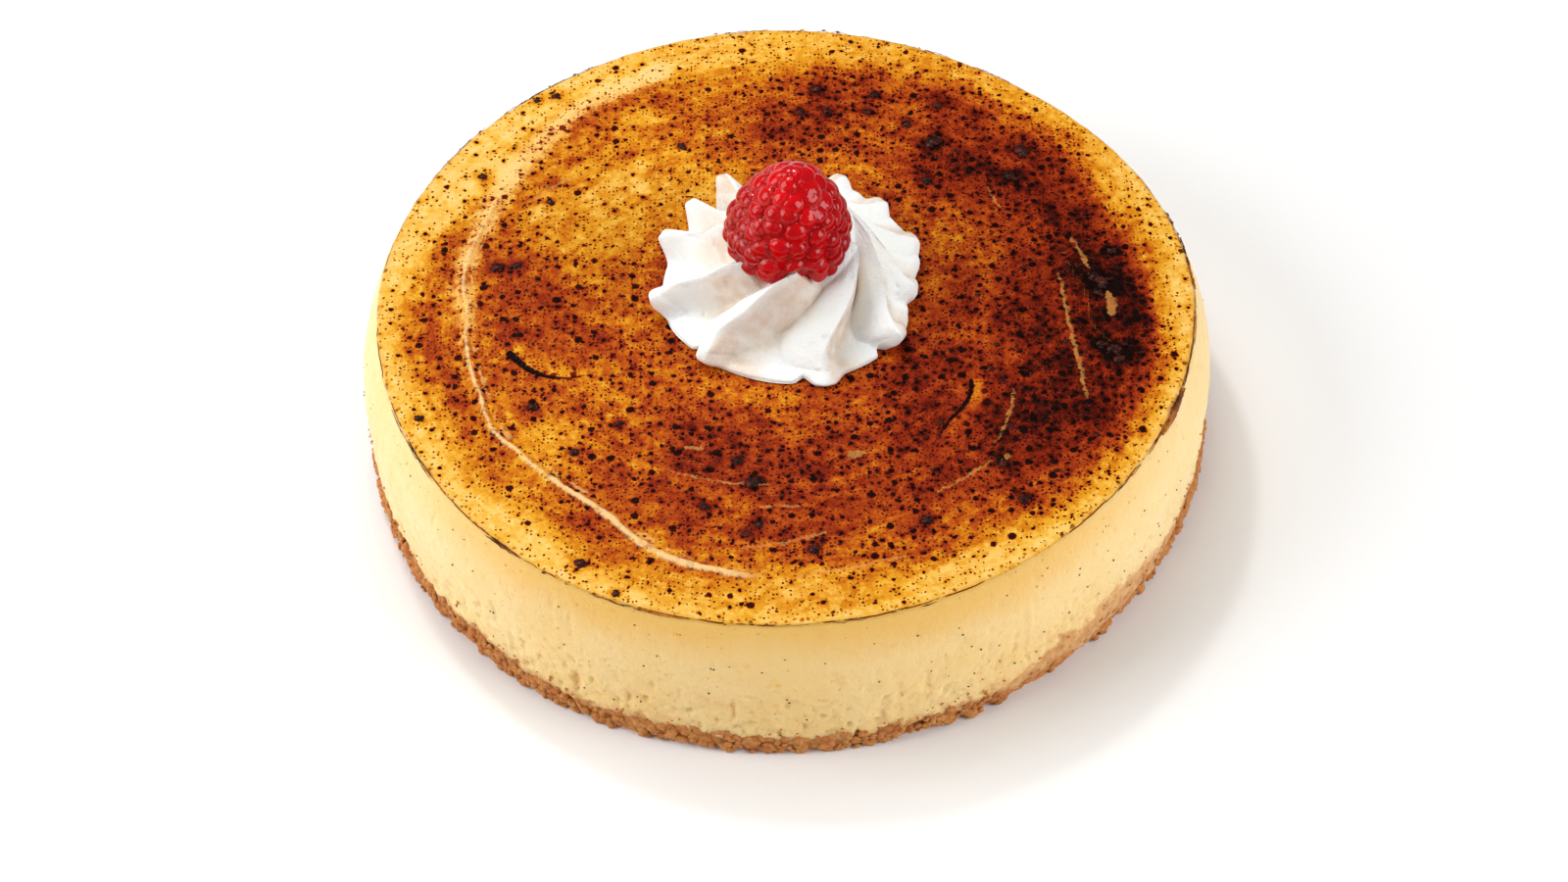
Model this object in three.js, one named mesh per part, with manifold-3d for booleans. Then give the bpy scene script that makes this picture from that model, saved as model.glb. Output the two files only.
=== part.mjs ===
// Creme brulee cheesecake: a round baked cheesecake on a crumb crust, with one piped star
// of whipped cream in its middle and a whole raspberry set in the cream.
// Millimetres, +Z up, front towards -Y. The origin is under the middle of the cake, on the
// surface that it stands on.

import * as THREE from 'three';
import { mergeVertices } from 'three/addons/utils/BufferGeometryUtils.js';
import Module from 'manifold-3d';

// ---- Driving dimensions ----------------------------------------------------------------

// The cake: a low round whose side bulges and draws in towards the rim.
const CAKE_HEIGHT = 31;
const BASE_RADIUS = 76.0;
const WIDEST_RADIUS = 76.2;
const RIM_RADIUS = 72.2;
const WIDEST_AT = 0.5; // share of the height where the side is widest
const BULGE_POWER = 2.2; // how late the side turns in above its widest level
const RIM_ROUNDING = 1.1;

// The outline is not a true circle: each term adds size * cos(lobes * angle - turn).
const OUTLINE_TERMS = [
  { lobes: 2, size: 0.2, turn: 190 },
  { lobes: 3, size: 0.4, turn: 20 },
  { lobes: 4, size: 0.35, turn: 0 },
  { lobes: 5, size: 0.2, turn: 75 },
];

// The crumb crust under the filling: its top edge wanders round the side.
const CRUST_HEIGHT = 4.7;
const CRUST_TERMS = [
  { lobes: 2, size: 0.9, turn: 0 },
  { lobes: 7, size: 0.4, turn: 50 },
  { lobes: 12, size: 0.45, turn: 200 },
];
const CRUMB_RELIEF = 0.35;
const CRUMB_LOBES = 29;
const CRUMB_SLANT = 2; // how far a lobe runs round, in radians for each mm of height
const SEAM_LEVELLING = 12; // power that keeps the wandering of the seam close to the side
const SEAM_RUN = 0.12; // share of the radius between the points of the seam

// The whipped cream star: ridges that sweep round clockwise from the middle outwards.
const CREAM_CENTRE = [1.0, 3.0];
// Each ridge: its tip's bearing, how far it reaches beside the others, how deep the channel
// after it is, how far its crest sags, how far it turns on its way in, and by which share of
// that way it has turned.
const CREAM_RIDGES = [
  { tip: 188, reach: 1.0, depth: 1.0, sag: -0.1, turn: 34, turned: 0.76 },
  { tip: 227, reach: 0.97, depth: 1.0, sag: 0.3, turn: 50, turned: 0.79 },
  { tip: 285, reach: 0.99, depth: 1.0, sag: 1.0, turn: 61, turned: 0.68 },
  { tip: 322, reach: 1.0, depth: 0.5, sag: 0.0, turn: 65, turned: 0.67 },
  { tip: 352, reach: 0.94, depth: 0.3, sag: 0.2, turn: 60, turned: 0.68 },
  { tip: 379, reach: 1.02, depth: 0.25, sag: 0.0, turn: 50, turned: 0.7 },
  { tip: 403, reach: 0.98, depth: 0.25, sag: -0.4, turn: 42, turned: 0.72 },
  { tip: 425, reach: 1.0, depth: 0.3, sag: -0.7, turn: 34, turned: 0.72 },
  { tip: 449, reach: 1.02, depth: 0.6, sag: -0.7, turn: 22, turned: 0.74 },
  { tip: 473, reach: 1.09, depth: 0.9, sag: -0.5, turn: 14, turned: 0.74 },
  { tip: 491, reach: 1.03, depth: 1.0, sag: -0.3, turn: 13, turned: 0.74 },
  { tip: 512, reach: 1.01, depth: 1.0, sag: -0.2, turn: 16, turned: 0.74 },
];
const CREAM_TURN_STARTS = 0.3; // share of the way in
const CREAM_TURN_POWER = 2.4;
// At these shares of the way in, where the wall after a crest ends and where the next ridge
// starts to rise, as shares of the way to the next crest.
const CREAM_STATIONS = [0.28, 0.43, 0.57, 0.71];
const CREAM_WALL_ENDS = [0.2, 0.34, 0.36, 0.4];
const CREAM_RISE_STARTS = [0.8, 0.6, 0.38, 0.42];
const CREAM_BACK_POWER = 0.85; // under 1 makes a ridge's back bulge
const CREAM_EDGE = 0.2; // how sharply the wall breaks away from the crest
const CREAM_NOSE_WIDTH = 11; // least width of a ridge's blunt end, in degrees
const CREAM_NOSE_SHARE = 0.6; // most that it takes of the way to the next crest
const CREAM_NOSE_TOP = 0.3; // share of the nose that stays level with its crest
const CREAM_NOSE_ENDS = [0.3, 0.5]; // shares of the way in over which that width gives way
const CREAM_REACH_FADES = [0.2, 0.6];
const CREAM_BLEND = [0.3, 0.8]; // where one ridge's form passes over to the next one's
// The notch in the foot beside each tip.
const CREAM_NOTCH = { at: 0.85, width: 0.05, depth: 1.6, fades: [0.1, 0.3] };
// Radius and height of the ridge crests and of the channels between them, outside to middle.
const CREST_LINE = [
  [22.4, 0], [24.5, 2.2], [24.3, 4.4], [20.5, 6.5], [16.2, 9.4], [11.9, 14.6], [8, 14.5], [0, 12],
];
const SAGGED_CREST_LINE = [
  [24.0, 0], [24.4, 0.8], [22.0, 2.4], [19.2, 5.4], [15.8, 10.0], [11.9, 15.2], [8, 14.5], [0, 12],
];
const VALLEY_LINE = [
  [22.4, 0], [22.0, 0.8], [19.6, 1.4], [16.6, 2.1], [13.4, 3.6], [10.9, 8.4], [7.5, 11], [0, 11],
];

// The raspberry: an egg shape, broad end down, covered with drupelets.
const BERRY_RADIUS = 9.8;
const BERRY_HALF_HEIGHT = 11.8;
const BERRY_TAPER = 0.34; // how much narrower the tip is than the broad end
const BERRY_CENTRE = [1.5, 3.0, 18.2]; // the height is above the cake's top
const BERRY_LEAN = 8; // to the right
const BERRY_NOD = 5; // to the front
const DRUPELET_PITCH = 3.2;
const DRUPELET_RADIUS = 1.95;
const DRUPELET_RELIEF = 0.62; // share of a drupelet's cap that stands out
const DRUPELET_RING_START = 0.35; // rings between the berry's tip and the first ring
// How unevenly the drupelets sit: along their ring in shares of their pitch, and across it in
// radians. The phases tell one drupelet and one ring from the next.
const DRUPELET_SWAY = { size: 0.3, drupeletPhase: 5.1, ringPhase: 2.3 };
const DRUPELET_TILT = { size: 0.07, drupeletPhase: 3.7, ringPhase: 1 };

// Clearance where one piece rests on or in another.
const SEAT_GAP = 0.3;

// ---- Mesh fineness ---------------------------------------------------------------------

const CAKE_COLUMNS = 72;
const SIDE_ROWS = 7;
const RIM_ROWS = 2;
const TOP_ROWS = 3;
const CRUST_SIDE_ROWS = 2;
const SEAM_ROWS = 2;
// Where the columns of a ridge stand between its crest and the next: close by the wall and notch.
const CREAM_STEPS = [0, 0.1, 0.22, 0.36, 0.54, 0.72, 0.85, 0.93];
const CREAM_ROWS = 14;
const BERRY_DETAIL = 12;
const CLEARANCE_DETAIL = 3;

// ---- Helpers ---------------------------------------------------------------------------

const TURN = 2 * Math.PI;
const rad = THREE.MathUtils.degToRad;
const lerp = THREE.MathUtils.lerp;
const clamp = THREE.MathUtils.clamp;
const smooth = THREE.MathUtils.smoothstep; // of a value, between a low and a high

function waves(terms, angle) {
  return terms.reduce((sum, t) => sum + t.size * Math.cos(t.lobes * angle - rad(t.turn)), 0);
}

// A closed skin from its lines: line(angle) lists [radius, height] from the bottom pole, out,
// up and back in to the top pole, and every line has the same number of points.
function turnedSkin(line, columns) {
  const lines = Array.from({ length: columns }, (_, c) => line((TURN * c) / columns));
  const rows = lines[0].length - 2;
  const positions = [0, 0, lines[0][0][1]];
  for (let row = 1; row <= rows; row++) {
    lines.forEach((points, c) => {
      const [radius, height] = points[row];
      const angle = (TURN * c) / columns;
      positions.push(radius * Math.cos(angle), radius * Math.sin(angle), height);
    });
  }
  positions.push(0, 0, lines[0][rows + 1][1]);
  return skinFromRows(positions, rows, columns);
}

// Faces for rows of columns points each, between one pole point first and one last.
function skinFromRows(positions, rows, columns) {
  const at = (row, c) => 1 + row * columns + (c % columns);
  const last = rows * columns + 1;
  const index = [];
  for (let c = 0; c < columns; c++) {
    index.push(0, at(0, c + 1), at(0, c));
    for (let row = 0; row < rows - 1; row++) {
      index.push(at(row, c), at(row, c + 1), at(row + 1, c + 1));
      index.push(at(row, c), at(row + 1, c + 1), at(row + 1, c));
    }
    index.push(at(rows - 1, c), at(rows - 1, c + 1), last);
  }
  const geometry = new THREE.BufferGeometry();
  geometry.setAttribute('position', new THREE.Float32BufferAttribute(positions, 3));
  geometry.setIndex(index);
  geometry.computeVertexNormals();
  return geometry;
}

// The value that goes with a share, from values given at rising stations.
function betweenStations(stations, values, share) {
  const next = stations.findIndex((station) => station >= share);
  if (next < 1) {
    return next === 0 ? values[0] : values.at(-1);
  }
  const part = (share - stations[next - 1]) / (stations[next] - stations[next - 1]);
  return lerp(values[next - 1], values[next], part);
}

// A point of a line of [radius, height] stations, share running from 0 to 1.
function alongLine(line, share) {
  const curve = new THREE.SplineCurve(line.map(([r, z]) => new THREE.Vector2(r, z)));
  return curve.getPoint(share);
}

// ---- Booleans --------------------------------------------------------------------------

const wasm = await Module();
wasm.setup();

function toSolid(geometry) {
  const bare = geometry.clone();
  bare.deleteAttribute('normal');
  bare.deleteAttribute('uv');
  const merged = mergeVertices(bare);
  return new wasm.Manifold(
    new wasm.Mesh({
      numProp: 3,
      vertProperties: new Float32Array(merged.attributes.position.array),
      triVerts: new Uint32Array(merged.index.array),
    }),
  );
}

function fromSolid(solid) {
  const mesh = solid.getMesh();
  const geometry = new THREE.BufferGeometry();
  geometry.setAttribute('position', new THREE.BufferAttribute(mesh.vertProperties, 3));
  geometry.setIndex(new THREE.BufferAttribute(mesh.triVerts, 1));
  geometry.computeVertexNormals();
  return geometry;
}

// ---- The cake: crust and filling -------------------------------------------------------

function sideRadius(height) {
  const share = height / CAKE_HEIGHT;
  if (share < WIDEST_AT) {
    return lerp(BASE_RADIUS, WIDEST_RADIUS, Math.sin((share / WIDEST_AT) * (Math.PI / 2)));
  }
  const above = (share - WIDEST_AT) / (1 - WIDEST_AT);
  return WIDEST_RADIUS - (WIDEST_RADIUS - RIM_RADIUS) * above ** BULGE_POWER;
}

function outlineRadius(angle, height) {
  return sideRadius(height) + waves(OUTLINE_TERMS, angle);
}

function crustEdgeHeight(angle) {
  return CRUST_HEIGHT + waves(CRUST_TERMS, angle);
}

// The seam between crust and filling: level inside, wandering near the side.
function seamLine(angle, lift) {
  const edge = crustEdgeHeight(angle) + lift;
  const outer = outlineRadius(angle, edge);
  const points = [];
  for (let row = 0; row < SEAM_ROWS; row++) {
    const share = 1 - row * SEAM_RUN;
    points.push([outer * share, lerp(CRUST_HEIGHT + lift, edge, share ** SEAM_LEVELLING)]);
  }
  points.push([0, CRUST_HEIGHT + lift]);
  return points;
}

function crustSkin() {
  return turnedSkin((angle) => {
    const edge = crustEdgeHeight(angle);
    const points = [[0, 0]];
    for (let row = 0; row < CRUST_SIDE_ROWS; row++) {
      const height = (edge * row) / CRUST_SIDE_ROWS;
      const crumb = Math.cos(CRUMB_LOBES * angle + height * CRUMB_SLANT) * CRUMB_RELIEF;
      points.push([outlineRadius(angle, height) - CRUMB_RELIEF + crumb, height]);
    }
    return points.concat(seamLine(angle, 0));
  }, CAKE_COLUMNS);
}

function fillingSkin() {
  return turnedSkin((angle) => {
    const points = seamLine(angle, SEAT_GAP).reverse();
    const bottom = crustEdgeHeight(angle) + SEAT_GAP;
    const shoulder = CAKE_HEIGHT - RIM_ROUNDING;
    for (let row = 1; row <= SIDE_ROWS; row++) {
      const height = lerp(bottom, shoulder, row / SIDE_ROWS);
      points.push([outlineRadius(angle, height), height]);
    }
    const arcCentre = outlineRadius(angle, shoulder) - RIM_ROUNDING;
    for (let row = 1; row <= RIM_ROWS; row++) {
      const bend = ((Math.PI / 2) * row) / RIM_ROWS;
      points.push([
        arcCentre + RIM_ROUNDING * Math.cos(bend),
        shoulder + RIM_ROUNDING * Math.sin(bend),
      ]);
    }
    for (let row = 1; row < TOP_ROWS; row++) {
      points.push([arcCentre * (1 - row / TOP_ROWS), CAKE_HEIGHT]);
    }
    points.push([0, CAKE_HEIGHT]);
    return points;
  }, CAKE_COLUMNS);
}

// ---- The whipped cream star ------------------------------------------------------------

// How deep the surface lies between one crest, at step 0, and the next, at step 1: a wall after
// the crest, a floor and the next ridge's back. width is the angle from crest to crest.
function channelDepth(step, share, width) {
  const outer = 1 - smooth(share, ...CREAM_NOSE_ENDS);
  const nose = outer * Math.min(CREAM_NOSE_WIDTH / width, CREAM_NOSE_SHARE);
  const wall = Math.max(betweenStations(CREAM_STATIONS, CREAM_WALL_ENDS, share), nose);
  const rise = betweenStations(CREAM_STATIONS, CREAM_RISE_STARTS, share);
  const drop = smooth(step / wall, lerp(-CREAM_EDGE, CREAM_NOSE_TOP, outer), 1);
  const back = clamp((step - rise) / (1 - rise), 0, 1);
  return step === 0 ? 0 : Math.min(drop, 1 - back ** CREAM_BACK_POWER);
}

// A point of the star: radius from its own middle, angle, and height above the cake's top.
function creamPoint(ridge, step, share) {
  const from = CREAM_RIDGES[ridge];
  const next = CREAM_RIDGES[(ridge + 1) % CREAM_RIDGES.length];
  const width = (next.tip - from.tip + 360) % 360;
  const blend = smooth(step, ...CREAM_BLEND);
  const crest = alongLine(CREST_LINE, share)
    .lerp(alongLine(SAGGED_CREST_LINE, share), lerp(from.sag, next.sag, blend));
  const depth = from.depth * channelDepth(step, share, width);
  const place = crest.lerp(alongLine(VALLEY_LINE, share), depth);
  const reach = lerp(from.reach, next.reach, blend);
  const reached = place.x * lerp(reach, 1, smooth(share, ...CREAM_REACH_FADES));
  const off = (step - CREAM_NOTCH.at) / CREAM_NOTCH.width;
  const notch = Math.exp(-off * off) * (1 - smooth(share, ...CREAM_NOTCH.fades));
  const turned = lerp(from.turned, next.turned, step);
  const way = clamp((share - CREAM_TURN_STARTS) / (turned - CREAM_TURN_STARTS), 0, 1);
  const turn = lerp(from.turn, next.turn, step) * way ** CREAM_TURN_POWER;
  return {
    radius: reached - CREAM_NOTCH.depth * from.depth * notch,
    angle: rad(from.tip + width * step + turn),
    height: place.y,
  };
}

function creamSkin() {
  const positions = [0, 0, 0];
  for (let row = 0; row < CREAM_ROWS; row++) {
    CREAM_RIDGES.forEach((from, ridge) => {
      for (const step of CREAM_STEPS) {
        const { radius, angle, height } = creamPoint(ridge, step, row / CREAM_ROWS);
        positions.push(radius * Math.cos(angle), radius * Math.sin(angle), height);
      }
    });
  }
  positions.push(0, 0, CREST_LINE.at(-1)[1]);
  return skinFromRows(positions, CREAM_ROWS, CREAM_RIDGES.length * CREAM_STEPS.length);
}

// ---- The raspberry ---------------------------------------------------------------------

function eggRadius(z) {
  return BERRY_RADIUS * (1 - BERRY_TAPER * z);
}

// The smooth egg under the drupelets, for a unit direction from its middle.
function eggPoint(direction) {
  const around = eggRadius(direction.z);
  return new THREE.Vector3(
    direction.x * around,
    direction.y * around,
    direction.z * BERRY_HALF_HEIGHT,
  );
}

// Drupelets sit in rings from tip to broad end, each ring half a step on from the last.
function drupeletCentres() {
  const rings = Math.round((Math.PI * BERRY_HALF_HEIGHT) / DRUPELET_PITCH);
  const uneven = (by, k, ring) => by.size * Math.sin(by.drupeletPhase * k + by.ringPhase * ring);
  const centres = [];
  for (let ring = 0; ring < rings; ring++) {
    const polar = (Math.PI * (ring + DRUPELET_RING_START)) / rings;
    const girth = TURN * eggRadius(Math.cos(polar)) * Math.sin(polar);
    const count = Math.max(3, Math.round(girth / DRUPELET_PITCH));
    for (let k = 0; k < count; k++) {
      const along = k + 0.5 * (ring % 2) + uneven(DRUPELET_SWAY, k, ring);
      const tilt = polar + uneven(DRUPELET_TILT, k, ring);
      const direction = new THREE.Vector3().setFromSphericalCoords(1, tilt, (TURN * along) / count);
      centres.push(eggPoint(direction.applyAxisAngle(new THREE.Vector3(1, 0, 0), Math.PI / 2)));
    }
  }
  return centres;
}

function berrySkin() {
  const centres = drupeletCentres();
  return radialSkin(BERRY_DETAIL, (direction) => {
    const point = eggPoint(direction);
    const near = Math.min(...centres.map((c) => c.distanceTo(point)));
    const cap = Math.sqrt(Math.max(0, DRUPELET_RADIUS ** 2 - near ** 2));
    return point.addScaledVector(direction, cap * DRUPELET_RELIEF);
  });
}

// The berry's smooth envelope with the seat gap added, to cut its nest out of the cream.
function berryClearanceSkin() {
  const extra = DRUPELET_RADIUS * DRUPELET_RELIEF + SEAT_GAP;
  return radialSkin(CLEARANCE_DETAIL, (direction) => {
    return eggPoint(direction).addScaledVector(direction, extra);
  });
}

// A closed ball of triangles with each corner moved to place(its direction).
function radialSkin(detail, place) {
  const ball = new THREE.IcosahedronGeometry(1, detail);
  ball.deleteAttribute('normal');
  ball.deleteAttribute('uv');
  const geometry = mergeVertices(ball);
  const corners = geometry.attributes.position;
  for (let i = 0; i < corners.count; i++) {
    const direction = new THREE.Vector3().fromBufferAttribute(corners, i).normalize();
    corners.setXYZ(i, ...place(direction).toArray());
  }
  geometry.computeVertexNormals();
  return geometry;
}

// ---- Assembly --------------------------------------------------------------------------

function finish(color, roughness) {
  return new THREE.MeshStandardMaterial({ color, roughness, metalness: 0 });
}

function piece(name, geometry, material) {
  const mesh = new THREE.Mesh(geometry, material);
  mesh.name = name;
  return mesh;
}

const cake = new THREE.Group();
cake.add(piece('crust_base', crustSkin(), finish(0xb87a3c, 0.9)));
cake.add(piece('cheesecake', fillingSkin(), finish(0xf3d9a0, 0.6)));

const topping = new THREE.Group();
topping.position.set(0, 0, CAKE_HEIGHT);
cake.add(topping);

const berrySeat = new THREE.Group();
berrySeat.position.set(...BERRY_CENTRE);
berrySeat.rotation.set(rad(BERRY_NOD), rad(BERRY_LEAN), 0);
berrySeat.add(piece('raspberry', berrySkin(), finish(0xb5121d, 0.3)));
topping.add(berrySeat);

berrySeat.updateMatrix();
const nest = berryClearanceSkin().applyMatrix4(berrySeat.matrix);
const cream = creamSkin().translate(...CREAM_CENTRE, SEAT_GAP);
const nestedCream = fromSolid(toSolid(cream).subtract(toSolid(nest)));
topping.add(piece('cream_rosette', nestedCream, finish(0xf5f2ec, 0.55)));

// The origin goes under the middle of the whole outline.
const middle = new THREE.Box3().setFromObject(cake, true).getCenter(new THREE.Vector3());
cake.position.set(-middle.x, -middle.y, 0);

export default cake;
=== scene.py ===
"""Creme brulee cheesecake: its looks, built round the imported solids.

Lengths are millimetres until a mesh is made, and angles are degrees. Bearings run
anticlockwise from +X as seen from above. The cake's own middle is the place that its outline
and all the marks on its top are measured from.
"""
import itertools
import math
from functools import partialmethod

import bmesh
import bpy
import numpy as np
from mathutils import Matrix, Vector


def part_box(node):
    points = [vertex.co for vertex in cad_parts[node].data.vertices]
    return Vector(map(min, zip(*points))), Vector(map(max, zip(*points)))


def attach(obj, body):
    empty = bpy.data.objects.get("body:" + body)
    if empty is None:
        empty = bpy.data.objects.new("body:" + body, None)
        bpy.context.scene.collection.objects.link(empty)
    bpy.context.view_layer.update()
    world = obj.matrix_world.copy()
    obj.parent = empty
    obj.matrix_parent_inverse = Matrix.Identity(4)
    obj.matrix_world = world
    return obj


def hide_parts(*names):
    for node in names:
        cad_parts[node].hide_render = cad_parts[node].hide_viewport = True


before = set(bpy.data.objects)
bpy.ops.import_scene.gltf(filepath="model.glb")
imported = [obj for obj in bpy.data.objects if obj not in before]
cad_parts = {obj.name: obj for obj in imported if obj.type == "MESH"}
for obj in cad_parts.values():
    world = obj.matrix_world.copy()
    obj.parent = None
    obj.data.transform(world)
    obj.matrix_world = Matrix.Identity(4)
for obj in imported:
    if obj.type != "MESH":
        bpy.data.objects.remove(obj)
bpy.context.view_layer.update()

MM = 0.001

# ---- Shape of the cake, as in the solids ----

BASE_RADIUS = 76.0
WIDEST_RADIUS = 76.2
RIM_RADIUS = 72.2
WIDEST_AT = 0.5
BULGE_POWER = 2.2
RIM_ROUNDING = 1.1
TOP_SKIRT = 0.7  # how far the torched skin goes on down the side
OUTLINE_TERMS = ((2, 0.2, 190), (3, 0.4, 20), (4, 0.35, 0), (5, 0.2, 75))  # lobes, size, turn
CRUST_HEIGHT = 4.7
CRUST_TERMS = ((2, 0.9, 0), (7, 0.4, 50), (12, 0.45, 200))
CAD_COLUMNS = 72

CREAM_CENTRE = (1.0, 3.0)
# Each ridge: its tip's bearing, how far it reaches beside the others, how deep the channel
# after it is, how far its crest sags, how far it turns on its way in, and by which share of
# that way it has turned.
CREAM_RIDGES = (
    (188, 1.00, 1.00, -0.1, 34, 0.76), (227, 0.97, 1.00, 0.3, 50, 0.79),
    (285, 0.99, 1.00, 1.0, 61, 0.68), (322, 1.00, 0.50, 0.0, 65, 0.67),
    (352, 0.94, 0.30, 0.2, 60, 0.68), (379, 1.02, 0.25, 0.0, 50, 0.70),
    (403, 0.98, 0.25, -0.4, 42, 0.72), (425, 1.00, 0.30, -0.7, 34, 0.72),
    (449, 1.02, 0.60, -0.7, 22, 0.74), (473, 1.09, 0.90, -0.5, 14, 0.74),
    (491, 1.03, 1.00, -0.3, 13, 0.74), (512, 1.01, 1.00, -0.2, 16, 0.74),
)
CREAM_TURN_STARTS = 0.3  # share of the way in
CREAM_TURN_POWER = 2.4
# At these shares of the way in, where the wall after a crest ends and where the next ridge
# starts to rise, as shares of the way to the next crest.
CREAM_STATIONS = (0.28, 0.43, 0.57, 0.71)
CREAM_WALL_ENDS = (0.20, 0.34, 0.36, 0.40)
CREAM_RISE_STARTS = (0.80, 0.60, 0.38, 0.42)
CREAM_NOSE_WIDTH = 11  # least width of a ridge's blunt end
CREAM_NOSE_TOP = 0.3  # share of the nose that stays level with its crest
CREAM_RISE_POWER = 0.85
CREAM_NOTCH_AT = 0.85
CREST_LINE = (
    (22.4, 0), (24.5, 2.2), (24.3, 4.4), (20.5, 6.5), (16.2, 9.4), (11.9, 14.6), (8, 14.5),
    (0, 12),
)
SAGGED_CREST_LINE = (
    (24.0, 0), (24.4, 0.8), (22.0, 2.4), (19.2, 5.4), (15.8, 10.0), (11.9, 15.2), (8, 14.5),
    (0, 12),
)
VALLEY_LINE = (
    (22.4, 0), (22.0, 0.8), (19.6, 1.4), (16.6, 2.1), (13.4, 3.6), (10.9, 8.4), (7.5, 11),
    (0, 11),
)

BERRY_RADIUS = 9.8
BERRY_HALF_HEIGHT = 11.8
BERRY_TAPER = 0.34
BERRY_CENTRE = (1.5, 3.0, 18.2)
BERRY_LEAN = 8
BERRY_NOD = 5
DRUPELET_PITCH = 3.2
DRUPELET_RADIUS = 1.95
DRUPELET_RELIEF = 0.62
DRUPELET_RING_START = 0.35  # rings between the berry's tip and the first ring
DRUPELET_SWAY = (0.3, 5.1, 2.3)  # size, and the phases for each drupelet and each ring
DRUPELET_TILT = (0.07, 3.7, 1)
DRUPELET_DEPTH = 0.6  # how deep the creases between drupelets are cut
BERRY_FUSED = (0.32, -0.33, 0.88)  # towards where some drupelets have run together
BERRY_TUCKED = (0.19, -0.94, -0.28)  # pressed in behind the front crest of the cream
STYLES_SHARE = 0.45  # share of the drupelets on one side that keep their hair
HAIR_RADIUS = 0.035

SEAT_GAP = 0.3

# ---- Marks on the torched top ----

BASE_CHAR = 0.565
# Burnt and pale patches: bearing, radius, spread in degrees, spread in mm, amount of char.
PATCHES = (
    (0, 55, 42, 13, 0.28), (72, 46, 10, 8, -0.16), (150, 31, 12, 5, -0.07),
    (255, 32, 22, 5, 0.07), (33, 44, 10, 6, -0.08), (4, 38, 10, 5, -0.06),
    (298, 42, 12, 7, -0.06), (270, 50, 12, 7, -0.06), (120, 56, 12, 4, -0.19),
    (90, 50, 14, 7, 0.05), (240, 32, 14, 5, 0.05), (42, 50, 20, 12, 0.14),
    (325, 50, 26, 15, 0.185), (330, 32, 20, 8, 0.08), (285, 40, 30, 13, 0.11),
    (250, 36, 16, 10, 0.07), (190, 42, 18, 8, 0.05), (88, 48, 20, 10, 0.17),
    (100, 32, 20, 10, -0.1), (130, 38, 24, 16, -0.27), (105, 60, 22, 9, -0.12),
    (150, 60, 22, 9, -0.12), (150, 41, 17, 12, -0.2), (214, 44, 16, 14, -0.2),
    (222, 54, 18, 7, -0.08), (275, 62, 16, 5, -0.24), (302, 65, 14, 4, -0.2),
)
# The same for patches that reach out over the pale margin.
MARGIN_PATCHES = (
    (0, 62, 10, 4, 0.18), (28, 65, 12, 3, -0.15), (58, 70, 24, 3, 0.2),
    (10, 70, 22, 3, 0.07), (185, 65, 12, 4, 0.29), (210, 66, 10, 3, 0.09),
    (270, 69.3, 20, 2, 0.2), (98, 70, 22, 3, 0.09), (150, 62, 12, 3, -0.08),
    (118, 62, 12, 3, 0.12), (90, 62, 9, 3, -0.08), (180, 57, 10, 3, -0.05),
    (300, 66, 14, 3, -0.08),
)
MARGIN_RADIUS = 65  # the middle of the change to the pale margin
MARGIN_SWING = (2.2, 345)  # how much farther out it lies, and towards which bearing
MARGIN_WIDTH = 4.5
MARGIN_CHAR = 0.09

# A long pale fold in the skin, from the back round the left to the front.
FOLD_LINE = (
    (-22, 62), (-36, 52), (-47, 38), (-53, 24), (-57, 10), (-56.3, 0), (-55, -12),
    (-53, -21), (-50.5, -28), (-45, -34.5), (-37.5, -42), (-30.5, -48), (-26, -53),
    (-19.5, -58.3), (-10, -61.5), (-4, -62.4),
)
FOLD_FADE_IN = 0.28  # share of its length where it has grown from nothing
FOLD_FADE_OUT = 0.92  # and where it starts to fade again

# Pale scratches in the brown: points of each line and its half width.
SCRATCHES = (
    (((49.2, 7), (49.9, 0), (50.7, -9), (51.8, -18), (52.2, -24)), 0.30),
    (((57.7, 2), (58.2, -1), (58, -4)), 0.62),
    (((13.6, -35.2), (12, -35.7), (10.3, -35.8)), 0.75),
    (((37.2, -36.6), (38.2, -37)), 0.55),
    (((51.8, 15.8), (53.6, 11.5), (54.8, 7.5)), 0.30),
    (((37.5, 29.3), (39.8, 23.3)), 0.18),
    (((39.8, -21), (39, -25.5), (36.8, -31.5), (35, -34)), 0.20),
    (((35.3, -37.5), (30, -41.5), (24.8, -45)), 0.22),
    (((-8.2, -56.3), (0, -55), (6.6, -52.6)), 0.26),
    (((0.8, -62.5), (10.6, -60.8), (19.7, -58.6)), 0.3),
    (((-5, -47), (3, -47)), 0.22), (((-45, 28), (-42, 31.5), (-38, 34)), 0.22),
    (((-17.5, -33), (-14, -33.3)), 0.40), (((-21, -38), (-12, -41), (-2, -42)), 0.16),
)
# Black cracks: points of each line and its half width.
CRACKS = (
    (((32.4, -18.6), (32.2, -22), (30.6, -25.3), (28.4, -28), (26.2, -31.8)), 0.30),
    (((-48.6, -9.6), (-47.2, -11.4), (-44.6, -14.2), (-40, -16.3), (-35.5, -16)), 0.62),
)

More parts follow.
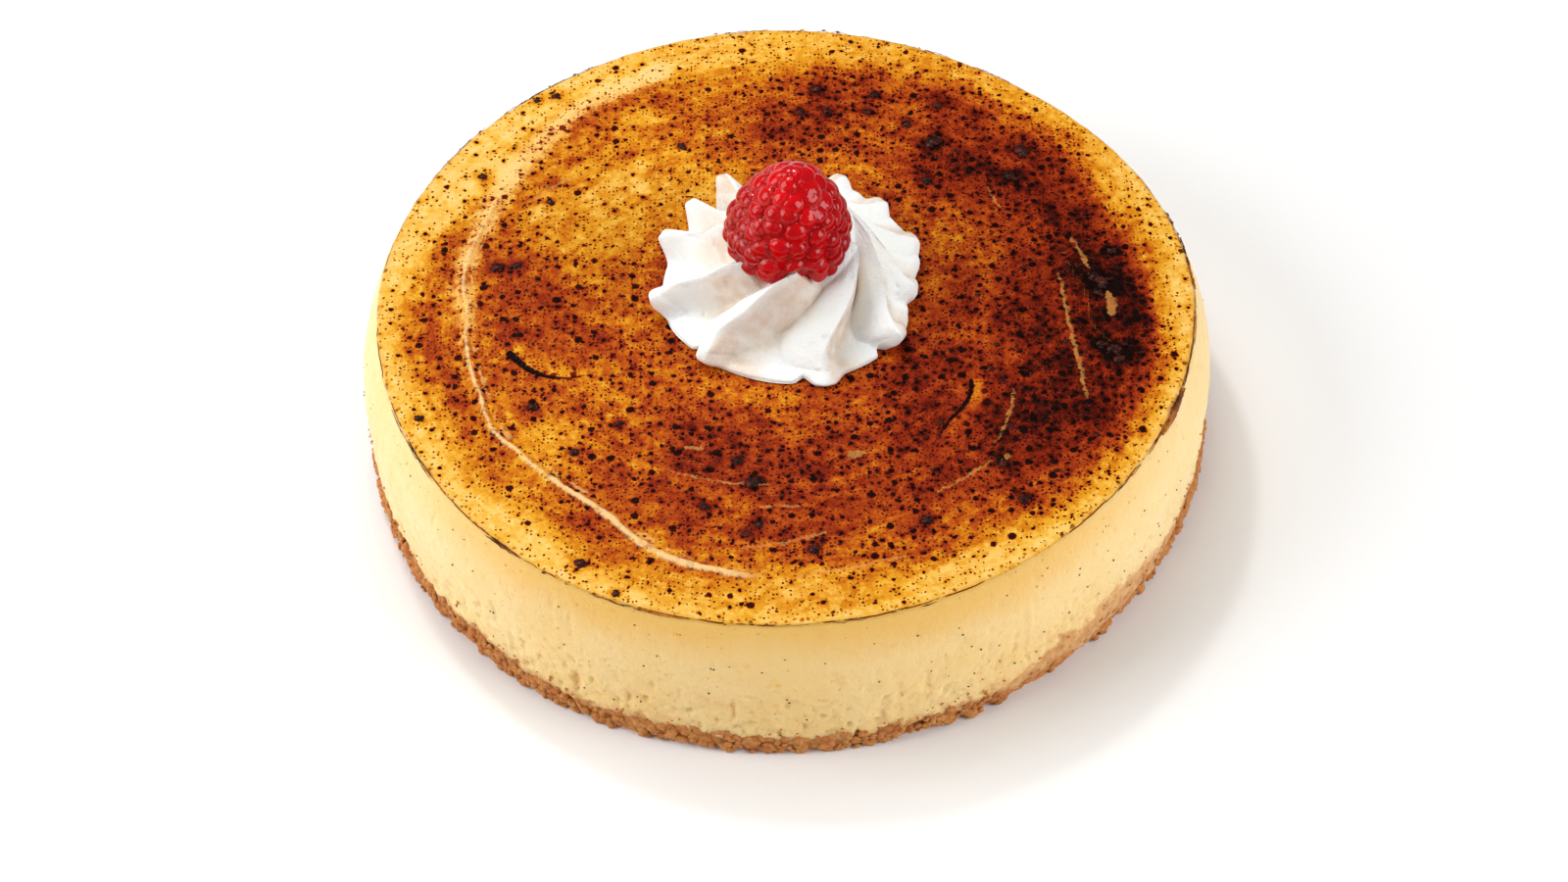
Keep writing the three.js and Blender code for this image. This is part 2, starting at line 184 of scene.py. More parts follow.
# Where large black blisters have burst and dried: place and radius.
BLISTERS = (
    (44.5, 38.5, 1.7), (28.5, 41, 1.5), (18, 54, 1.0), (29.5, 51, 1.0), (23.5, 46, 1.0),
    (16.5, 49.5, 1.0), (9, 50, 0.9), (4, 50, 0.9), (7, 56, 1.0), (42, 31.5, 1.2),
    (26.5, 31, 1.1), (-41.6, 55.8, 1.1), (-45, 54.6, 0.9), (-18, 41.5, 1.0),
    (-54.5, 34.5, 0.9), (-42, 27.5, 0.8), (-51, 11, 1.2), (-47.5, 11.5, 1.0),
    (-44, -23, 1.2), (-63.5, -25, 0.9), (-35, -59, 1.2), (-29, -65.5, 0.8), (-7, -53, 0.9),
    (-5, -51, 0.8), (23.5, -51, 1.2), (4.5, -56.5, 1.1), (-14, -47, 0.9), (-6, -42, 1.4),
    (-29, -27.5, 0.9), (-8.5, -36.5, 0.9), (-36.5, -33.5, 0.9), (40, -46.5, 1.2),
    (37, -38.5, 0.9), (57.5, -12.5, 1.5), (57, 4, 1.3), (55.5, -11, 1.2),
    (58.5, -14.5, 1.0), (55.5, 5.5, 1.2), (56, 1.5, 1.0), (59, 12, 1.0),
)
BLISTER_CROWD = 6  # lumps in a blister 1 mm in radius
BLISTER_CHAR = 0.36  # how much browner the skin is under a blister
BLISTER_REACH = 1.5  # and how far, in radii of the blister
SPECKS = 1300  # burnt specks tried over the top, of which the ones on brown skin stay
SPECKS_REACH = 70  # radius that they keep inside of
SPECKS_FROM_CREAM = 20  # radius round the cream that they keep outside of

# Colours of the skin by its char, as a share of the range.
CHAR_COLOURS = (
    (0.00, 241, 202, 121), (0.09, 234, 183, 74), (0.18, 225, 159, 40), (0.30, 208, 131, 20),
    (0.44, 187, 94, 16), (0.57, 163, 62, 15), (0.70, 132, 36, 9), (0.84, 82, 15, 3),
    (1.00, 19, 4, 2),
)
CHAR_RANGE = 1.1  # the char level where the last colour is reached

# Where the rim is scorched hardest: bearing, spread in degrees, extra slivers.
RIM_BURNS = (
    (135, 16, 16), (75, 22, 10), (5, 14, 14), (335, 16, 10), (255, 40, 16), (215, 20, 10),
)
# Peeled flakes of burnt skin: bearing, length, width and how far they hang below the top.
RIM_FLAKES = (
    (338, 8, 1.5, 0.5), (341, 5, 1.0, 0.8), (335, 4, 0.9, 0.7), (6, 4.5, 0.9, 0.4),
    (3, 3, 0.7, 0.7), (11, 3, 0.6, 0.5),
)
SLIVER_THICKNESS, FLAKE_THICKNESS = 0.05, 0.16
# Black bits on the rim: bearing, spread in degrees, how many.
RIM_BITS = ((6, 4, 18), (12, 5, 8), (340, 4, 9), (135, 16, 12), (75, 25, 12), (262, 30, 10))

# ---- Marks on the side ----

SIDE_INSET = 0.12  # how far the filling's side lies inside the solid's
SIDE_ABOVE = 0.6  # how far it goes on up under the skin
# Towards the front, warm bounce light is painted into the side and the skin's skirt.
FRONT = (-25.0, -66.0)  # between these places along Y, the cake's front begins
# Where the filling hangs lower over the crust: bearing, spread in degrees, mm.
DRAPES = ((275, 45, 0.8), (317, 19, 1.6), (203, 16, 1.5))
SMEAR_BEARING, SMEAR_SPREAD = 317, 19  # where crust is smeared up the filling
SMEAR_HEIGHT = 4.9
CREASE_BEARING = 302.5  # a short upright crease in the filling
SEEDS, SEED_DEPTH = 170, 0.26
CRUST_ABOVE = 1.2  # how far the crust goes on up under the filling
# Crumbs: how many, between which shares of the crust's height, the power that draws them to
# the lower one, between which sizes, and how deep they sit.
CRUMBS = ((1150, 0.0, 1.0, 1, 0.4, 1.2, 0.65), (380, 0.9, 1.9, 2, 0.14, 0.34, 0.1))
CRUMB_CLEARANCE = 0.02  # least height of a crumb over the floor

# ---- Mesh fineness ----

TOP_CELLS = 286
SIDE_COLUMNS, SIDE_ROWS = 1600, 58
CRUST_COLUMNS, CRUST_ROWS = 1100, 22
CREAM_COLUMNS_PER_RIDGE, CREAM_ROWS = 54, 140
BERRY_SUBDIVISIONS = 7
LUMP_SUBDIVISIONS = 2
HAIR_SIDES, HAIR_STEPS = 5, 7
SLIVER_STEP = 0.35


# ---- Numbers: angles, curves and noise ----

def cosine(degrees):
    return np.cos(np.radians(degrees))


def sine(degrees):
    return np.sin(np.radians(degrees))


def beside(*columns):
    """One array from columns that go side by side along its last axis."""
    return np.stack(np.broadcast_arrays(*columns), axis=-1)


def polar(radius, bearing, height):
    """Places at a radius and a bearing round the upright axis."""
    return beside(radius * cosine(bearing), radius * sine(bearing), height)


def radius_and_bearing(x, y):
    return np.hypot(x, y), np.degrees(np.arctan2(y, x))


def lerp(start, end, share):
    return start + (end - start) * share


def smooth(low, high, value):
    """0 below low and 1 above high, with a soft S between. low may be the larger."""
    share = np.clip((value - low) / (high - low), 0, 1)
    return share * share * (3 - 2 * share)


def bell(distance, width):
    return np.exp(-((distance / width) ** 2))


def waves(terms, bearing):
    return sum(size * cosine(lobes * bearing - turn) for lobes, size, turn in terms)


def spline_at(points, share):
    """Points on the smooth curve through the given ones, share running from 0 to 1."""
    knots = np.asarray(points, float)
    place = np.clip(share, 0, 1) * (len(knots) - 1)
    first = np.minimum(place.astype(int), len(knots) - 2)
    part = (place - first)[..., None]
    reach = (-1, 0, 1, 2)
    before, start, end, after = (knots[np.clip(first + k, 0, len(knots) - 1)] for k in reach)
    leave = (end - before) / 2
    arrive = (after - start) / 2
    cubic = 2 * start - 2 * end + leave + arrive
    square = -3 * start + 3 * end - 2 * leave - arrive
    return ((cubic * part + square) * part + leave) * part + start


class Noise:
    """Smooth random values between -1 and 1 for points in space, the same on each run."""

    def __init__(self, seed):
        random = np.random.default_rng(seed)
        self.order = random.permutation(256)
        self.values = random.uniform(-1, 1, 256)

    def at(self, points):
        cell = np.floor(points).astype(int)
        part = points - cell
        fade = part * part * (3 - 2 * part)
        total = np.zeros(points.shape[:-1])
        for corner in itertools.product((0, 1), repeat=3):
            key = 0
            for place in np.moveaxis(cell + corner, -1, 0):
                key = self.order[(key + place) % 256]
            total += np.prod(np.where(corner, fade, 1 - fade), axis=-1) * self.values[key]
        return total

    def cloud(self, points, size, octaves=3, fall=0.5):
        """Noise of several sizes together, the largest being size mm across."""
        total = np.zeros(points.shape[:-1])
        strength, reach = 1.0, 0.0
        for octave in range(octaves):
            total += strength * self.at(points / size + 17.3 * octave)
            reach += strength
            size, strength = size / 2, strength * fall
        return total / reach


def spread(count, seed, *ranges):
    """Random rows, each with one number for every (low, high) range."""
    random = np.random.default_rng(seed)
    return beside(*[random.uniform(low, high, count) for low, high in ranges])


# ---- Places, from the frame ----

def side_radius(height):
    share = height / CAKE_HEIGHT
    below = lerp(BASE_RADIUS, WIDEST_RADIUS, np.sin(share / WIDEST_AT * np.pi / 2))
    above = np.clip((share - WIDEST_AT) / (1 - WIDEST_AT), 0, 1)
    drawn_in = WIDEST_RADIUS - (WIDEST_RADIUS - RIM_RADIUS) * above**BULGE_POWER
    return np.where(share < WIDEST_AT, below, drawn_in)


def outline_radius(bearing, height):
    return side_radius(height) + waves(OUTLINE_TERMS, bearing)


def crust_edge(bearing):
    return CRUST_HEIGHT + waves(CRUST_TERMS, bearing)


def around(columns):
    """The bearings of evenly spaced columns."""
    return np.arange(columns) * 360 / columns


def cake_middle():
    """The outline's middle, beside the solids' origin under the middle of their box."""
    bearing = around(CAD_COLUMNS)
    radius = np.max([outline_radius(bearing, CAKE_HEIGHT * k / 20) for k in range(21)], axis=0)
    edge = polar(radius, bearing, 0.0)
    return -(edge.min(axis=0) + edge.max(axis=0)) / 2


CAKE_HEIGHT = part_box("cheesecake")[1].z / MM
SHOULDER = CAKE_HEIGHT - RIM_ROUNDING
MIDDLE = cake_middle()
CREAM_MIDDLE = MIDDLE + (*CREAM_CENTRE, CAKE_HEIGHT + SEAT_GAP)
BERRY_MIDDLE = MIDDLE + BERRY_CENTRE + (0, 0, CAKE_HEIGHT)


# ---- Meshes ----

def put(name, data):
    """Adds an object to the scene."""
    added = bpy.data.objects.new(name, data)
    bpy.context.scene.collection.objects.link(added)
    return added


def new_piece(
    name, points, faces, material, slot, replaced=(), uv=None, middle=MIDDLE, **attributes
):
    """A smooth mesh from points in mm round a middle. attributes hold one value or vector for
    each point, and uv one pair for each corner of each face."""
    mesh = bpy.data.meshes.new(name)
    faces = faces if isinstance(faces, list) else faces.tolist()
    mesh.from_pydata(((points + middle) * MM).tolist(), [], faces)
    mesh.polygons.foreach_set("use_smooth", np.ones(len(mesh.polygons), bool))
    for label, values in attributes.items():
        values = np.asarray(values, np.float32)
        kind, field = ("FLOAT", "value") if values.ndim == 1 else ("FLOAT_VECTOR", "vector")
        mesh.attributes.new(label, kind, "POINT").data.foreach_set(field, values.ravel())
    if uv is not None:
        layer = mesh.uv_layers.new(name="OFBake")
        layer.uv.foreach_set("vector", np.asarray(uv, np.float32).ravel())
    mesh.materials.append(material)
    mesh.validate()
    piece = put(name, mesh)
    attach(piece, "root")
    if replaced:
        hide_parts(*replaced)
    return piece


def ring_faces(rows, columns):
    """Quads between rows of points that close into rings, facing out when rows run upwards."""
    row, column = np.arange(rows - 1)[:, None] * columns, np.arange(columns)
    following, above = (column + 1) % columns, row + columns
    faces = beside(row + column, row + following, above + following, above + column)
    return faces.reshape(-1, 4)


def ring_normals(grid):
    """Unit normals of a grid of points [row, column] that closes in columns."""
    along = np.roll(grid, -1, axis=1) - np.roll(grid, 1, axis=1)
    normal = np.cross(along, np.gradient(grid, axis=0))
    return normal / np.maximum(np.linalg.norm(normal, axis=-1, keepdims=True), 1e-9)


def ball(subdivisions):
    """Points and faces of a round ball of radius 1."""
    shape = bmesh.new()
    bmesh.ops.create_icosphere(shape, subdivisions=subdivisions, radius=1)
    points = np.array([v.co for v in shape.verts])
    faces = np.array([[v.index for v in f.verts] for f in shape.faces])
    shape.free()
    return points / np.linalg.norm(points, axis=1, keepdims=True), faces


def axes_for(outward):
    """A turning matrix whose rows are a level direction, an upper one and the outward one."""
    outward = outward / np.linalg.norm(outward)
    level = np.cross((0, 0, 1), outward)
    if np.linalg.norm(level) < 1e-3:
        level = np.array([1.0, 0, 0])
    level = level / np.linalg.norm(level)
    return np.stack([level, np.cross(outward, level), outward])


def joined(parts):
    """One list of points and one of faces from many (points, faces)."""
    points, faces, start = [], [], 0
    for part_points, part_faces in parts:
        points.append(part_points)
        faces.append(part_faces + start)
        start += len(part_points)
    return np.concatenate(points), np.concatenate(faces)


class Crowd:
    """Many small parts that become one piece, most of them uneven lumps."""

    def __init__(self, seed):
        self.noise = Noise(seed)
        self.ball = ball(LUMP_SUBDIVISIONS)
        self.parts = []

    def lump(self, place, outward, size, roughness, seed):
        """Adds a ball made uneven, stretched to size (across, along, out) and set at a place."""
        points, faces = self.ball
        uneven = 1 + roughness * self.noise.at(points * 1.3 + seed * 7.1)
        self.parts.append((place + (points * uneven[:, None] * size) @ axes_for(outward), faces))

    def on_side(self, bearing, height, sunk, size, roughness, seed):
        """Adds a lump on the cake's side."""
        place = polar(outline_radius(bearing, height) - sunk, bearing, height)
        self.lump(place, polar(1, bearing, 0), size, roughness, seed)

    def piece(self, name, material, slot):
        return new_piece(name, *joined(self.parts), material, slot)


# ---- Shader nodes ----

MIX_SHARE, MIX_FIRST, MIX_SECOND, MIX_RESULT = 0, 6, 7, 2  # a Mix node's sockets for colours


def srgb(*colour):
    """A colour as read off a screen, 0 to 255, in the linear values that shaders take."""
    values = (value / 255 for value in colour)
    return *(v / 12.92 if v <= 0.04045 else ((v + 0.055) / 1.055) ** 2.4 for v in values), 1.0


class Wire:
    """What a node gives. Sums and products of wires and numbers make further nodes."""

    def __init__(self, look, socket):
        self.look, self.socket = look, socket

    def maths(self, operation, *others):
        return self.look.node("Math", (self, *others), operation=operation)

    __add__ = partialmethod(maths, "ADD")
    __sub__ = partialmethod(maths, "SUBTRACT")
    __mul__ = partialmethod(maths, "MULTIPLY")
    __truediv__ = partialmethod(maths, "DIVIDE")
    __abs__ = partialmethod(maths, "ABSOLUTE")

    def __rsub__(self, other):
        return self.look.node("Math", (other, self), operation="SUBTRACT")

    def step(self, low, high, start=0.0, end=1.0):
        """start below low and end above high, soft between."""
        inputs = (self, low, high, start, end)
        return self.look.node("MapRange", inputs, interpolation_type="SMOOTHSTEP")

    def ramp(self, *stops):
        """A colour for each value, from (value, red, green, blue) stops, values 0 to 1."""
        given = self.look.node("ValToRGB", (self,))
        elements = given.socket.node.color_ramp.elements
        elements.remove(elements[-1])
        elements[0].position, elements[0].color = stops[0][0], srgb(*stops[0][1:])
        for position, *colour in stops[1:]:
            elements.new(position).color = srgb(*colour)
        return given

    def bump(self, depth, normal=None):
        """Tilts the surface as if this, 0 to 1, stood depth mm high."""
        inputs = dict(Height=self, Distance=depth * MM, Strength=1.0)
        if normal is not None:
            inputs["Normal"] = normal
        return self.look.node("Bump", inputs)


class Look:
    """A material whose nodes are made by short calls. Places fed to patterns are in mm."""

    def __init__(self, name, **surface):
        self.material = bpy.data.materials.new(name)
        self.material.use_nodes = True
        self.tree = self.material.node_tree
        self.surface = self.tree.nodes["Principled BSDF"]
        self.give(**surface)
        self.place = self.scaled(self.node("TexCoord", output="Object"), 1 / MM)

    def give(self, **surface):
        for socket, value in surface.items():
            self.plug(self.surface.inputs[socket.replace("_", " ")], value)

    def plug(self, socket, value):
        if isinstance(value, Wire):
            self.tree.links.new(value.socket, socket)
        else:
            socket.default_value = value

    def node(self, kind, inputs=(), output=0, **settings):
        """Adds a node, with its inputs given in order or by name."""
        made = self.tree.nodes.new("ShaderNode" + kind)
        for name, value in settings.items():
            setattr(made, name, value)
        for socket, value in inputs.items() if isinstance(inputs, dict) else enumerate(inputs):
            self.plug(made.inputs[socket], value)
        return Wire(self, made.outputs[output])

    def scaled(self, vector, factor):
        return self.node("VectorMath", {0: vector, "Scale": factor}, operation="SCALE")

    def attribute(self, name, output="Fac"):
        return self.node("Attribute", output=output, attribute_name=name)

    def parts(self, vector):
        made = self.node("SeparateXYZ", (vector,)).socket.node
        return [Wire(self, output) for output in made.outputs]

    def noise(self, size, detail=2.0, rough=0.5, distortion=0.0, place=None):
        """A cloud pattern of lumps about size mm across, 0 to 1 about 0.5."""
        inputs = dict(Vector=place or self.place, Scale=1 / size, Detail=detail)
        return self.node("TexNoise", dict(inputs, Roughness=rough, Distortion=distortion))

    def spots(self, size, chance, radius, soft, place=None):
        """Round spots in a share of random cells about size mm apart, 1 in the middle of each
        and 0 outside. The cells are flat where a place is given."""
        inputs = dict(Vector=place or self.place, Scale=1 / size, Randomness=1.0)
        distance = self.node("TexVoronoi", inputs, voronoi_dimensions="2D" if place else "3D")
        cell = Wire(self, distance.socket.node.outputs["Color"])
        pick, own, _ = self.parts(cell)
        reach = (own * 0.6 + 0.5) * radius
        shape = (distance * size / reach).step(1.0 + soft, 1.0 - soft)
        return shape * pick.maths("LESS_THAN", chance)

    def mix(self, share, first, second):
        """A colour between two, each a wire or (red, green, blue)."""
        first, second = (c if isinstance(c, Wire) else srgb(*c) for c in (first, second))
        inputs = {MIX_SHARE: share, MIX_FIRST: first, MIX_SECOND: second}
        return self.node("Mix", inputs, MIX_RESULT, data_type="RGBA")

    def tint(self, share, *colour):
        """Turns the look's colour by a share towards another."""
        self.colour = self.mix(share, self.colour, colour[0] if len(colour) == 1 else colour)

    def done(self, **varying):
        """Plugs in the look's colour and the rest that varies, and gives the material."""
        self.give(Base_Color=self.colour, **varying)
        return self.material


# ---- The torched top ----

def along_lines(points, lines, count=60):
    """For each point, the signed distance to the nearest of the lines, the share of the way
    along it, and its half width. lines are (points, half width)."""
    best = np.full((3, len(points)), 1e9)
    for line, half_width in lines:
        path = spline_at(line, np.linspace(0, 1, count))
        for k in range(count - 1):
            start, run = path[k], path[k + 1] - path[k]
            offset = points - start
            part = np.clip(offset @ run / (run @ run), 0, 1)
            gap = offset - part[:, None] * run
            distance = np.hypot(gap[:, 0], gap[:, 1])
            side = np.where(run[0] * gap[:, 1] - run[1] * gap[:, 0] < 0, -1.0, 1.0)
            share = (k + part) / (count - 1)
            found = (distance * side, share, np.full(len(points), half_width))
            best = np.where(distance < np.abs(best[0]), found, best)
    return best


def swirl_place(x, y, drag=2.4):
    """Coordinates in which a pattern comes out drawn along circles, as a spatula leaves it."""
    radius, bearing = radius_and_bearing(x, y)
    return polar(drag, bearing, radius / 3)


def patch_level(patches, bearing, radius):
    level = np.zeros(radius.shape)
    for at_bearing, at_radius, wide, deep, amount in patches:
        turn = (bearing - at_bearing + 180) % 360 - 180
        level += amount * bell(turn, wide) * bell(radius - at_radius, deep)
    return level


def char_level(x, y):
    """How brown the skin is: 0 pale, 0.5 amber, 0.8 dark brown."""
    radius, bearing = radius_and_bearing(x, y)
    place, swirl = beside(x, y, 0), swirl_place(x, y)
    level = BASE_CHAR + patch_level(PATCHES, bearing, radius)
    level += 0.17 * Noise(11).cloud(place, 11, 3)
    level += 0.15 * Noise(15).cloud(place, 4.5, 3, 0.6)
    level += 0.14 * Noise(12).cloud(swirl, 1.0, 4, 0.6)
    wander = 3.0 * Noise(13).cloud(place, 14, 3) + 1.6 * Noise(14).cloud(swirl, 0.8, 2)
    swing, towards = MARGIN_SWING
    outside = radius + wander - MARGIN_RADIUS - swing * cosine(bearing - towards)
    level = lerp(level, MARGIN_CHAR, smooth(-MARGIN_WIDTH, MARGIN_WIDTH, outside))
    level += patch_level(MARGIN_PATCHES, bearing, radius)
    for spot_x, spot_y, size in BLISTERS:
        level += BLISTER_CHAR * bell(np.hypot(x - spot_x, y - spot_y), size * BLISTER_REACH)
    return level


def top_surface(share, bearing):
    """Radius, height and distance in from the rounding of the rim. share runs from 0 in the
    middle of the top over the rim to 1 just down the side."""
    flat = outline_radius(bearing, SHOULDER) - RIM_ROUNDING
    bend_length = RIM_ROUNDING * np.pi / 2
    run = share * (flat + bend_length + TOP_SKIRT)
    bend = np.clip((run - flat) / RIM_ROUNDING, 0, np.pi / 2)
    down = np.clip(run - flat - bend_length, 0, None)
    radius = np.minimum(run, flat) + RIM_ROUNDING * np.sin(bend)
    height = CAKE_HEIGHT - RIM_ROUNDING * (1 - np.cos(bend)) - down
    below = outline_radius(bearing, height) - outline_radius(bearing, SHOULDER)
    return radius + np.where(down > 0, below, 0), height, flat - run


def torched_top(material):
    steps = np.linspace(-1, 1, TOP_CELLS + 1)
    u, v = (side.ravel() for side in np.meshgrid(steps, steps))
    share, bearing = radius_and_bearing(u * np.sqrt(1 - v * v / 2), v * np.sqrt(1 - u * u / 2))
    radius, height, from_rim = top_surface(np.minimum(share, 1), bearing)
    x, y = radius * cosine(bearing), radius * sine(bearing)
    place = beside(x, y, 0)
    plan = place[:, :2]

    char = char_level(x, y)
    fold, fold_share, _ = along_lines(plan, [(FOLD_LINE, 0)], 120)
    fading = smooth(0.1, FOLD_FADE_IN, fold_share) * smooth(1, FOLD_FADE_OUT, fold_share)
    fold += 0.5 * Noise(26).cloud(place, 7, 2) + 0.25 * Noise(27).cloud(place, 1.8, 2)
    scratch, way, scratch_width = along_lines(plan, SCRATCHES)
    scratch_width *= np.sqrt(np.clip(4 * way * (1 - way), 0, 1))
    crack, way, crack_width = along_lines(plan, CRACKS)
    crack_width *= smooth(0, 0.05, way) * smooth(1.3, 0.15, way)

    streaks = Noise(21).cloud(swirl_place(x, y, 1.6), 0.5, 3)
    relief = 0.16 * Noise(22).cloud(place, 14, 3) + 0.07 * streaks
    relief += fading * (0.5 * bell(fold, 0.7) - 0.12 * bell(fold + 1.7, 0.8))
    relief -= 0.2 * bell(scratch, 0.5) * scratch_width
    relief += crack_width * (0.6 * bell(crack, 0.7) - 0.8 * bell(crack, 0.3))
    relief += 0.12 * np.clip(char - 0.5, 0, 1) * Noise(23).cloud(place, 1.6, 2)
    rough_edge = 0.16 * Noise(24).cloud(place, 2.2, 3) + 0.1 * Noise(25).cloud(place, 9, 2)
    on_edge = smooth(1.5, -0.3, from_rim)
    tucked = 0.1 + rough_edge + 0.6 * smooth(-0.9, -1.7, from_rim)
    inward = 1 - tucked * on_edge / np.maximum(radius, 1)
    points = beside(x * inward, y * inward, height + relief * (1 - on_edge))

    index = np.arange(len(points)).reshape(TOP_CELLS + 1, TOP_CELLS + 1)
    faces = beside(index[:-1, :-1], index[:-1, 1:], index[1:, 1:], index[1:, :-1])
    faces = faces.reshape(-1, 4)
    uv = beside(u, v) * 0.495 + 0.5  # with a narrow border left free
    return new_piece(
        "torched_top", points, faces, material, "baked_custard", uv=uv[faces].reshape(-1, 2),
        char=char, swirl=swirl_place(x, y, 3.0), fold=beside(fold, fading, fold_share),
        scratch=beside(scratch, scratch_width, 0), crack=beside(crack, crack_width, way),
        from_rim=from_rim,
    )


def torched_look():
    look = Look("torched_custard", IOR=1.45, Specular_IOR_Level=0.035)
    wobble = look.node("TexNoise", dict(Vector=look.place, Scale=1 / 0.9, Detail=1.0), "Color")
    shifted = look.node("VectorMath", (look.place, look.scaled(wobble, 0.7)), operation="ADD")
    char, from_rim = look.attribute("char"), look.attribute("from_rim")

    def uneven(*lumps, place=None):
        return look.noise(*lumps, place=place).step(0.3, 0.7) - 0.5

    def spots(*kind):
        return look.spots(*kind, place=shifted)

    patchy = uneven(3.4, 4, 0.65)
    blotchy = uneven(1.7, 3, 0.7, 0.6, place=shifted)
    streaky = uneven(0.4, 3, 0.6, place=look.attribute("swirl", "Vector"))
    grainy = uneven(0.7, 3, 0.75, place=shifted)
    browned = char.step(0.05, 0.5, 0.5, 1.0) * char.step(0.45, 0.75, 1.0, 0.6)
    mottled = patchy * 0.2 + blotchy * 0.2 + streaky * 0.14 + grainy * 0.18
    ground = char + mottled * browned - from_rim.step(4.5, 1.0) * 0.02

    chance = char * 0.72 + 0.06
    small = spots(0.75, chance + 0.12, 0.21, 0.3)
    middling = spots(1.7, chance, 0.38, 0.3)
    large = spots(3.4, chance * (char + 0.2), 0.66, 0.3)
    halo = spots(1.7, chance, 0.95, 0.9)
    dots = (small * 0.75).maths("MAXIMUM", middling * 0.95).maths("MAXIMUM", large * 0.9)
    ground = ground + halo * 0.14
    level = ground + dots * (1.15 - ground)

    # Cracks burn black where they start and redden along their way, with a pale clearing
    # on one side. The fold and the scratches stay pale.
    crack, crack_width, way = look.parts(look.attribute("crack", "Vector"))
    cracked = (abs(crack) + grainy * 0.45 - crack_width).step(0.2, -0.1)
    clear = crack.step(4.2, 0.8) * crack.step(0.0, 0.6) * crack_width.step(0.0, 0.2)
    level = level - clear * 0.26 + cracked * way.step(0.2, 0.9, 1.2, 0.5)

    fold, fading, way = look.parts(look.attribute("fold", "Vector"))
    off_fold = abs(fold) + grainy * 0.2 + blotchy * 0.35 + way.step(0.4, 0.9, 0.34, -0.06)
    folded = off_fold.step(0.95, 0.3) * fading * patchy.step(-0.5, -0.1, 0.35, 1.0)
    second = abs(fold - 1.5) + blotchy * 0.6
    doubled = second.step(0.42, 0.2) * fading * patchy.step(0.0, 0.25)
    broad = abs(fold).step(3.4, 0.5) * way.step(0.48, 0.24)
    level = level - broad * 0.24
    scratch, scratch_width, _ = look.parts(look.attribute("scratch", "Vector"))
    off_scratch = abs(scratch + patchy * 0.6) + grainy * 0.5 - scratch_width
    scratched = off_scratch.step(0.18, -0.08) * scratch_width.step(0.02, 0.15)
    scratched = scratched * patchy.step(-0.5, 0.1, 0.4, 1.0)

    # The sugar burns in beads along the rim.
    off_edge = abs(from_rim + patchy * 0.6 + 0.3)
    level = level + spots(1.3, 0.55, 0.3, 0.4) * off_edge.step(1.5, 0.3) * 0.45

    share = level / CHAR_RANGE
    look.colour = share.ramp(*CHAR_COLOURS)
    peach = look.noise(9, 2).step(0.35, 0.7)
    look.tint(peach * share.step(0.3, 0.06) * 0.35, 238, 188, 104)
    look.tint(broad * share.step(0.5, 0.2) * 0.5, 240, 196, 124)
    look.tint(doubled * 0.5, 240, 190, 110)
    look.tint(folded * 0.85, 246, 206, 140)
    look.tint(scratched * 0.55, 216, 146, 72)

    _, deep, _ = look.parts(look.place)
    # The skirt down the rim is painted more orange at the front, as warm bounce light.
    skirt = look.mix(deep.step(*FRONT), (249, 212, 142), (238, 186, 86))
    look.tint(from_rim.step(-0.3, -1.0) * 0.9, skirt)
    # The skin is scorched in a thin broken line where it turns down over the rim.
    off_line = abs(from_rim + (look.noise(4, 2) - 0.5) * 0.5 + 0.75)
    broken = look.noise(7, 3, 0.6).step(0.46, 0.54, 0.2, 1.0)
    look.tint(off_line.step(1.3, 0.2) * broken * 0.45, 222, 152, 50)
    look.tint(off_line.step(0.17, 0.07) * broken, 92, 38, 10)

    shiny = share.step(0.5, 0.85) * 0.6 + look.noise(1.3, 2) * 0.6
    height = grainy * 0.3 + middling * 0.7 + large + folded * 0.5
    return look.done(Roughness=shiny.step(0.0, 1.0, 0.5, 0.28), Normal=height.bump(0.16))


# ---- Burnt specks that stand up from the top ----

def scorched_blisters(material):
    crowd = Crowd(31)
    for number, (x, y, size) in enumerate(BLISTERS):
        whole = (size * 0.85, size * 0.6, size * 0.3)
        crowd.lump((x, y, CAKE_HEIGHT), (0, 0, 1), whole, 0.5, number)
        drawn = spread(round(BLISTER_CROWD * size), 300 + number, (-1, 1), (-1, 1), (0.28, 0.6))
        for k, (across, deep, scale) in enumerate(drawn):
            place = (x + across * size * 0.8, y + deep * size * 0.8, CAKE_HEIGHT)
            stretch = (size * scale, size * scale * 0.75, size * scale * 0.4)
            crowd.lump(place, (0.3 * across, 0.3 * deep, 1), stretch, 0.5, number + 5 * k)
    drawn = spread(SPECKS, 32, (-70, 70), (-70, 70), (0.12, 0.34), (0.25, 1.0))
    x, y, size, pick = drawn.T
    off_cream = np.hypot(x - CREAM_CENTRE[0], y - CREAM_CENTRE[1]) > SPECKS_FROM_CREAM
    kept = (np.hypot(x, y) < SPECKS_REACH) & (char_level(x, y) > pick) & off_cream
    for number in np.flatnonzero(kept):
        reach = size[number] * (1 + 0.8 * (pick[number] > 0.6))
        stretch = (reach, reach * 0.8, reach * 0.3)
        crowd.lump((x[number], y[number], CAKE_HEIGHT), (0, 0, 1), stretch, 0.4, number)
    return crowd.piece("scorched_blisters", material, "baked_custard")


def scorched_look():
    look = Look("scorched_sugar", IOR=1.5, Specular_IOR_Level=0.14)
    speck = look.noise(1.1, 3, 0.6)
    look.colour = speck.ramp((0.3, 20, 7, 4), (0.5, 46, 12, 5), (0.7, 92, 26, 8))
    rough = look.noise(0.6).step(0.3, 0.7, 0.2, 0.5)
    return look.done(Roughness=rough, Normal=look.noise(0.35, 2).bump(0.06))


# ---- The burnt edge ----

